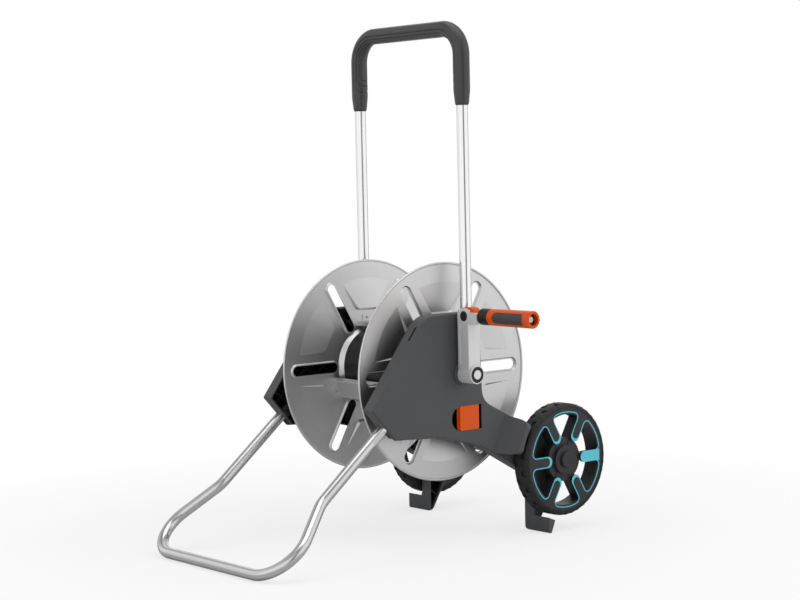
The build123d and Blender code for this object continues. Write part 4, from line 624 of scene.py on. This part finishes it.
def head_places(name):
    """The middle of each screw's head and the way it faces, along X."""
    places = []
    for points in islands(name):
        low, high = min(p.x for p in points), max(p.x for p in points)
        y = sum(p.y for p in points) / len(points)
        z = sum(p.z for p in points) / len(points)

        def spread(end):
            return max(((p.y - y) ** 2 + (p.z - z) ** 2) ** 0.5 for p in points if abs(p.x - end) < FLAT)
        facing = 1 if spread(high) > spread(low) else -1
        face = high if facing > 0 else low
        ys = [p.y for p in points if abs(p.x - face) < FLAT]
        zs = [p.z for p in points if abs(p.x - face) < FLAT]
        places.append((Vector((face, (min(ys) + max(ys)) / 2, (min(zs) + max(zs)) / 2)), facing))
    return places


def recess_mesh():
    """A low domed disc of radius 1 with a cross-shaped driver recess sunk in its middle."""
    form = bmesh.new()

    def height(radius, angle):
        x, y = radius * abs(cos(angle)), radius * abs(sin(angle))
        arm = max(x, y) / RECESS_ARM
        sunk = min(x, y) < RECESS_HALF_WIDTH and arm <= 1
        return HEAD_DOME * (1 - radius * radius) - sunk * RECESS_DEPTH * (1 - 0.5 * arm * arm)
    angles = [2 * pi * step / RECESS_SEGMENTS for step in range(RECESS_SEGMENTS)]
    rows = []
    for ring in range(1, RECESS_RINGS + 1):
        radius = ring / RECESS_RINGS
        rows.append([form.verts.new((radius * cos(angle), radius * sin(angle), height(radius, angle)))
                     for angle in angles])
    skirt = [form.verts.new((v.co.x, v.co.y, -HEAD_SKIRT)) for v in rows[-1]]
    rows.append(skirt)
    centre = form.verts.new((0, 0, height(0, 0)))
    for k in range(RECESS_SEGMENTS):
        following = (k + 1) % RECESS_SEGMENTS
        form.faces.new((centre, rows[0][k], rows[0][following]))
        for inner, outer in zip(rows, rows[1:]):
            form.faces.new((inner[k], outer[k], outer[following], inner[following]))
    form.faces.new(list(reversed(skirt)))
    bmesh.ops.recalc_face_normals(form, faces=form.faces)
    mesh = bpy.data.meshes.new("driver_recess")
    form.to_mesh(mesh)
    form.free()
    return mesh


def driver_recess_tree():
    """One recess on each head, turned at random as screws stop at random."""
    tree, start, end = growing_tree("driver_recess", (
        ("Recess", "NodeSocketObject"), ("Radius", "NodeSocketFloat"), ("Seed", "NodeSocketInt"),
        ("Steel", "NodeSocketMaterial")))
    angle = add_node(tree, "FunctionNodeRandomValue", data_type="FLOAT")
    enabled(angle.inputs, "Min").default_value = 0.0
    enabled(angle.inputs, "Max").default_value = pi / 2
    tree.links.new(start["Seed"], angle.inputs["Seed"])
    turned = face_out(tree, "Z", recalled(tree, "facing", "FLOAT_VECTOR"), (0, 0, 1),
                      enabled(angle.outputs))
    recesses = scattered(tree, start["Recess"], start["Geometry"], turned, start["Radius"])
    close_tree(tree, recesses, start["Steel"], end)
    return tree


def driver_recesses():
    """The recessed discs of each set of screws, a piece for each set."""
    tree = driver_recess_tree()
    form = bpy.data.objects.new("driver_recess_form", recess_mesh())
    scene.collection.objects.link(form)
    for number, (node, body, radius, sink) in enumerate(SCREW_HEADS):
        places = head_places(node)
        seeds = bpy.data.meshes.new(node + "_heads")
        seeds.from_pydata([spot - Vector((facing * sink, 0, 0)) for spot, facing in places], [], [])
        ways = seeds.attributes.new("facing", "FLOAT_VECTOR", "POINT")
        for item, (spot, facing) in zip(ways.data, places):
            item.vector = (facing, 0, 0)
        mesh = grow(node + "_recesses", seeds, tree, {
            "Recess": form, "Radius": radius, "Seed": FIRST_SEED + number,
            "Steel": MATERIALS["screw_steel"]})
        put(node + "_recesses", mesh, body, "screw_steel")
    bpy.data.objects.remove(form)


# ---- tyre lugs ----
LUG_COUNT = 40              # on each shoulder
LUG_SIZE = (0.0085, 0.0092, 0.0014)
LUG_TOP = (0.86, 0.62)      # its top's share of its length and width
LUG_BEVEL = 0.07            # its rounding, as a share of its size
LUG_TIP = pi / 4            # how far a lug leans over the shoulder
LUG_INSET = 0.0032          # ring of lugs inside the tread's radius
LUG_SET_IN = 0.0024         # ring of lugs inside the tyre's side


def lug_mesh():
    """A rubber lug that fills a unit cube round its origin, narrowed upwards and rounded."""
    form = bmesh.new()
    bmesh.ops.create_cube(form, size=1.0)
    for vert in form.verts:
        if vert.co.z > 0:
            vert.co.x *= LUG_TOP[0]
            vert.co.y *= LUG_TOP[1]
    bmesh.ops.bevel(form, geom=list(form.edges), offset=LUG_BEVEL, segments=2, affect="EDGES",
                    profile=0.6)
    bmesh.ops.recalc_face_normals(form, faces=form.faces)
    mesh = bpy.data.meshes.new("tyre_lug")
    form.to_mesh(mesh)
    form.free()
    return mesh


def shoulder_lugs_tree():
    """A ring of lugs round an axle along X, tipped over the tyre's shoulder."""
    tree, start, end = growing_tree("shoulder_lugs", (
        ("Lug", "NodeSocketObject"), ("Count", "NodeSocketInt"), ("Ring Radius", "NodeSocketFloat"),
        ("Tip", "NodeSocketFloat"), ("Lug Size", "NodeSocketVector"), ("Rubber", "NodeSocketMaterial")))
    ring = add_node(tree, "GeometryNodeMeshCircle")
    tree.links.new(start["Count"], ring.inputs["Vertices"])
    tree.links.new(start["Ring Radius"], ring.inputs["Radius"])
    radial = vector_node(tree, "NORMALIZE", add_node(tree, "GeometryNodeInputPosition").outputs[0])
    turned = face_out(tree, "X", radial, (0, 1, 0), start["Tip"])
    lugs = scattered(tree, start["Lug"], ring.outputs["Mesh"], turned, start["Lug Size"])
    close_tree(tree, lugs, start["Rubber"], end)
    return tree


def tyre_lugs():
    """Both shoulders' rings of lugs on each tyre, one piece for each wheel."""
    tree = shoulder_lugs_tree()
    form = bpy.data.objects.new("tyre_lug_form", lug_mesh())
    scene.collection.objects.link(form)
    for side in ("right", "left"):
        low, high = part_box("tyre_" + side)
        axle = (low + high) / 2
        tyre_r = (high.z - low.z) / 2
        both = bmesh.new()
        for way in (1, -1):
            seed = bpy.data.meshes.new("ring_seed")
            mesh = grow("ring", seed, tree, {
                "Lug": form, "Count": LUG_COUNT, "Ring Radius": tyre_r - LUG_INSET, "Tip": LUG_TIP,
                "Lug Size": LUG_SIZE, "Rubber": MATERIALS["tyre"]})
            # the ring is drawn flat: stand it on its axle, one shoulder each
            along = Matrix(((0, 0, way, 0), (1, 0, 0, 0), (0, way, 0, 0), (0, 0, 0, 1)))
            edge = axle.x + way * ((high.x - low.x) / 2 - LUG_SET_IN)
            mesh.transform(Matrix.Translation(Vector((edge, axle.y, axle.z))) @ along)
            both.from_mesh(mesh)
        bmesh.ops.recalc_face_normals(both, faces=both.faces)
        mesh = bpy.data.meshes.new("tyre_lugs_" + side)
        both.to_mesh(mesh)
        both.free()
        put("tyre_lugs_" + side, mesh, "wheel_" + side, "tyre")
    bpy.data.objects.remove(form)


handle_sleeve()
driver_recesses()
tyre_lugs()


# ---- floor, backdrop and studio light ----
FLOOR_R = 2.6
FLOOR_DROP = 0.0005         # below the feet
FLOOR_GREY = (0.86, 0.86, 0.86)
FLOOR_IN_GLOSS = (0.52, 0.52, 0.52)
# two distances from the middle, and how much of the floor is plain white at each
WHITE_TO_EYE = (0.45, 1.2, 0.7, 1.0)
WHITE_IN_GLOSS = (1.2, 2.5, 0.0, 1.0)


def studio_floor():
    """A pale disc that keeps the cart's shadow and turns white away from it."""
    bpy.ops.mesh.primitive_circle_add(vertices=96, radius=FLOOR_R, fill_type="NGON",
                                      location=(0, 0, -FLOOR_DROP))
    floor = bpy.context.object
    floor.name = "studio_floor"
    material, tree, shader = new_material("pale_floor")
    seen = add_node(tree, "ShaderNodeLightPath")
    shade = mix_colour(tree, seen.outputs["Is Glossy Ray"], FLOOR_GREY, FLOOR_IN_GLOSS)
    tree.links.new(shade, shader.inputs["Base Color"])
    shader.inputs["Roughness"].default_value = 0.9
    glow = add_node(tree, "ShaderNodeEmission")
    glow.inputs["Strength"].default_value = 1.0
    place = add_node(tree, "ShaderNodeTexCoord")
    reach = vector_node(tree, "LENGTH", place.outputs["Object"])
    bright = math_node(tree, "MULTIPLY", seen.outputs["Is Camera Ray"],
                       remap(tree, reach, *WHITE_TO_EYE))
    mirrored = math_node(tree, "MULTIPLY", seen.outputs["Is Glossy Ray"],
                         remap(tree, reach, *WHITE_IN_GLOSS))
    share = math_node(tree, "MAXIMUM", bright, mirrored)
    blend = add_node(tree, "ShaderNodeMixShader")
    tree.links.new(share, blend.inputs["Fac"])
    tree.links.new(shader.outputs["BSDF"], blend.inputs[1])
    tree.links.new(glow.outputs["Emission"], blend.inputs[2])
    tree.links.new(blend.outputs["Shader"], tree.nodes["Material Output"].inputs["Surface"])
    floor.data.materials.append(material)


# where the studio's dark screens stand, in degrees round the object, and how dark they look
SCREENS = ((-20, 0.75), (96, 0.65), (176, 0.5), (-139, 0.2))
SCREEN_EDGES = (19, 7)      # a screen's soft edge, in degrees from its middle
OVERHEAD = (0.5, 0.95, 1.0, 0.3)    # two heights on the unit sphere, and the gloss left at each
AMBIENT = 0.42              # strength of the air's light on the object


def studio_air():
    """White air to the eye, softer light on the object, and dark screens seen only in gloss."""
    world = bpy.data.worlds.new("studio_air")
    scene.world = world
    world.use_nodes = True
    tree = world.node_tree
    seen = add_node(tree, "ShaderNodeLightPath")
    place = add_node(tree, "ShaderNodeTexCoord")
    level = vector_node(tree, "NORMALIZE", vector_node(tree, "MULTIPLY", place.outputs["Generated"],
                                                       (1.0, 1.0, 0.0)))
    outer, inner = (cos(radians(degrees)) for degrees in SCREEN_EDGES)
    mirrored = 1.0
    for bearing, depth in SCREENS:
        way = (cos(radians(bearing)), sin(radians(bearing)), 0.0)
        facing = vector_node(tree, "DOT_PRODUCT", level, way)
        lit = remap(tree, facing, outer, inner, 1.0, 1.0 - depth, soft=True)
        mirrored = math_node(tree, "MULTIPLY", mirrored, lit)
    strength = math_node(tree, "MAXIMUM", seen.outputs["Is Camera Ray"],
                         seen.outputs["Is Transmission Ray"])
    height = add_node(tree, "ShaderNodeSeparateXYZ")
    tree.links.new(vector_node(tree, "NORMALIZE", place.outputs["Generated"]), height.inputs[0])
    overhead = remap(tree, height.outputs["Z"], *OVERHEAD, soft=True)
    mirrored = math_node(tree, "MULTIPLY", mirrored, overhead)
    gloss = math_node(tree, "MULTIPLY", seen.outputs["Is Glossy Ray"], mirrored)
    strength = math_node(tree, "MAXIMUM", strength, gloss)
    diffuse = math_node(tree, "SUBTRACT", AMBIENT,
                        math_node(tree, "MULTIPLY", seen.outputs["Is Glossy Ray"], AMBIENT))
    strength = math_node(tree, "MAXIMUM", strength, diffuse)
    tree.links.new(strength, tree.nodes["Background"].inputs["Strength"])
    tree.nodes["Background"].inputs["Color"].default_value = (1, 1, 1, 1)


def softbox(name, offset, size, watts, in_gloss=True):
    """A square lamp that looks at the cart's middle from an offset."""
    light = bpy.data.lights.new(name, "AREA")
    light.shape = "RECTANGLE"
    light.size = light.size_y = size
    light.energy = watts
    lamp = bpy.data.objects.new(name, light)
    scene.collection.objects.link(lamp)
    middle = (cad_box[0] + cad_box[1]) / 2
    lamp.location = middle + Vector(offset)
    lamp.rotation_euler = (middle - lamp.location).to_track_quat("-Z", "Y").to_euler()
    lamp.visible_glossy = in_gloss


place_camera()
studio_floor()
studio_air()
softbox("left_softbox", (-0.6, -2.6, 1.2), 2.4, 22, in_gloss=False)
softbox("right_softbox", (2.4, 1.6, 1.2), 2.4, 40, in_gloss=False)
softbox("top_softbox", (0.2, 0.1, 2.6), 2.6, 32)
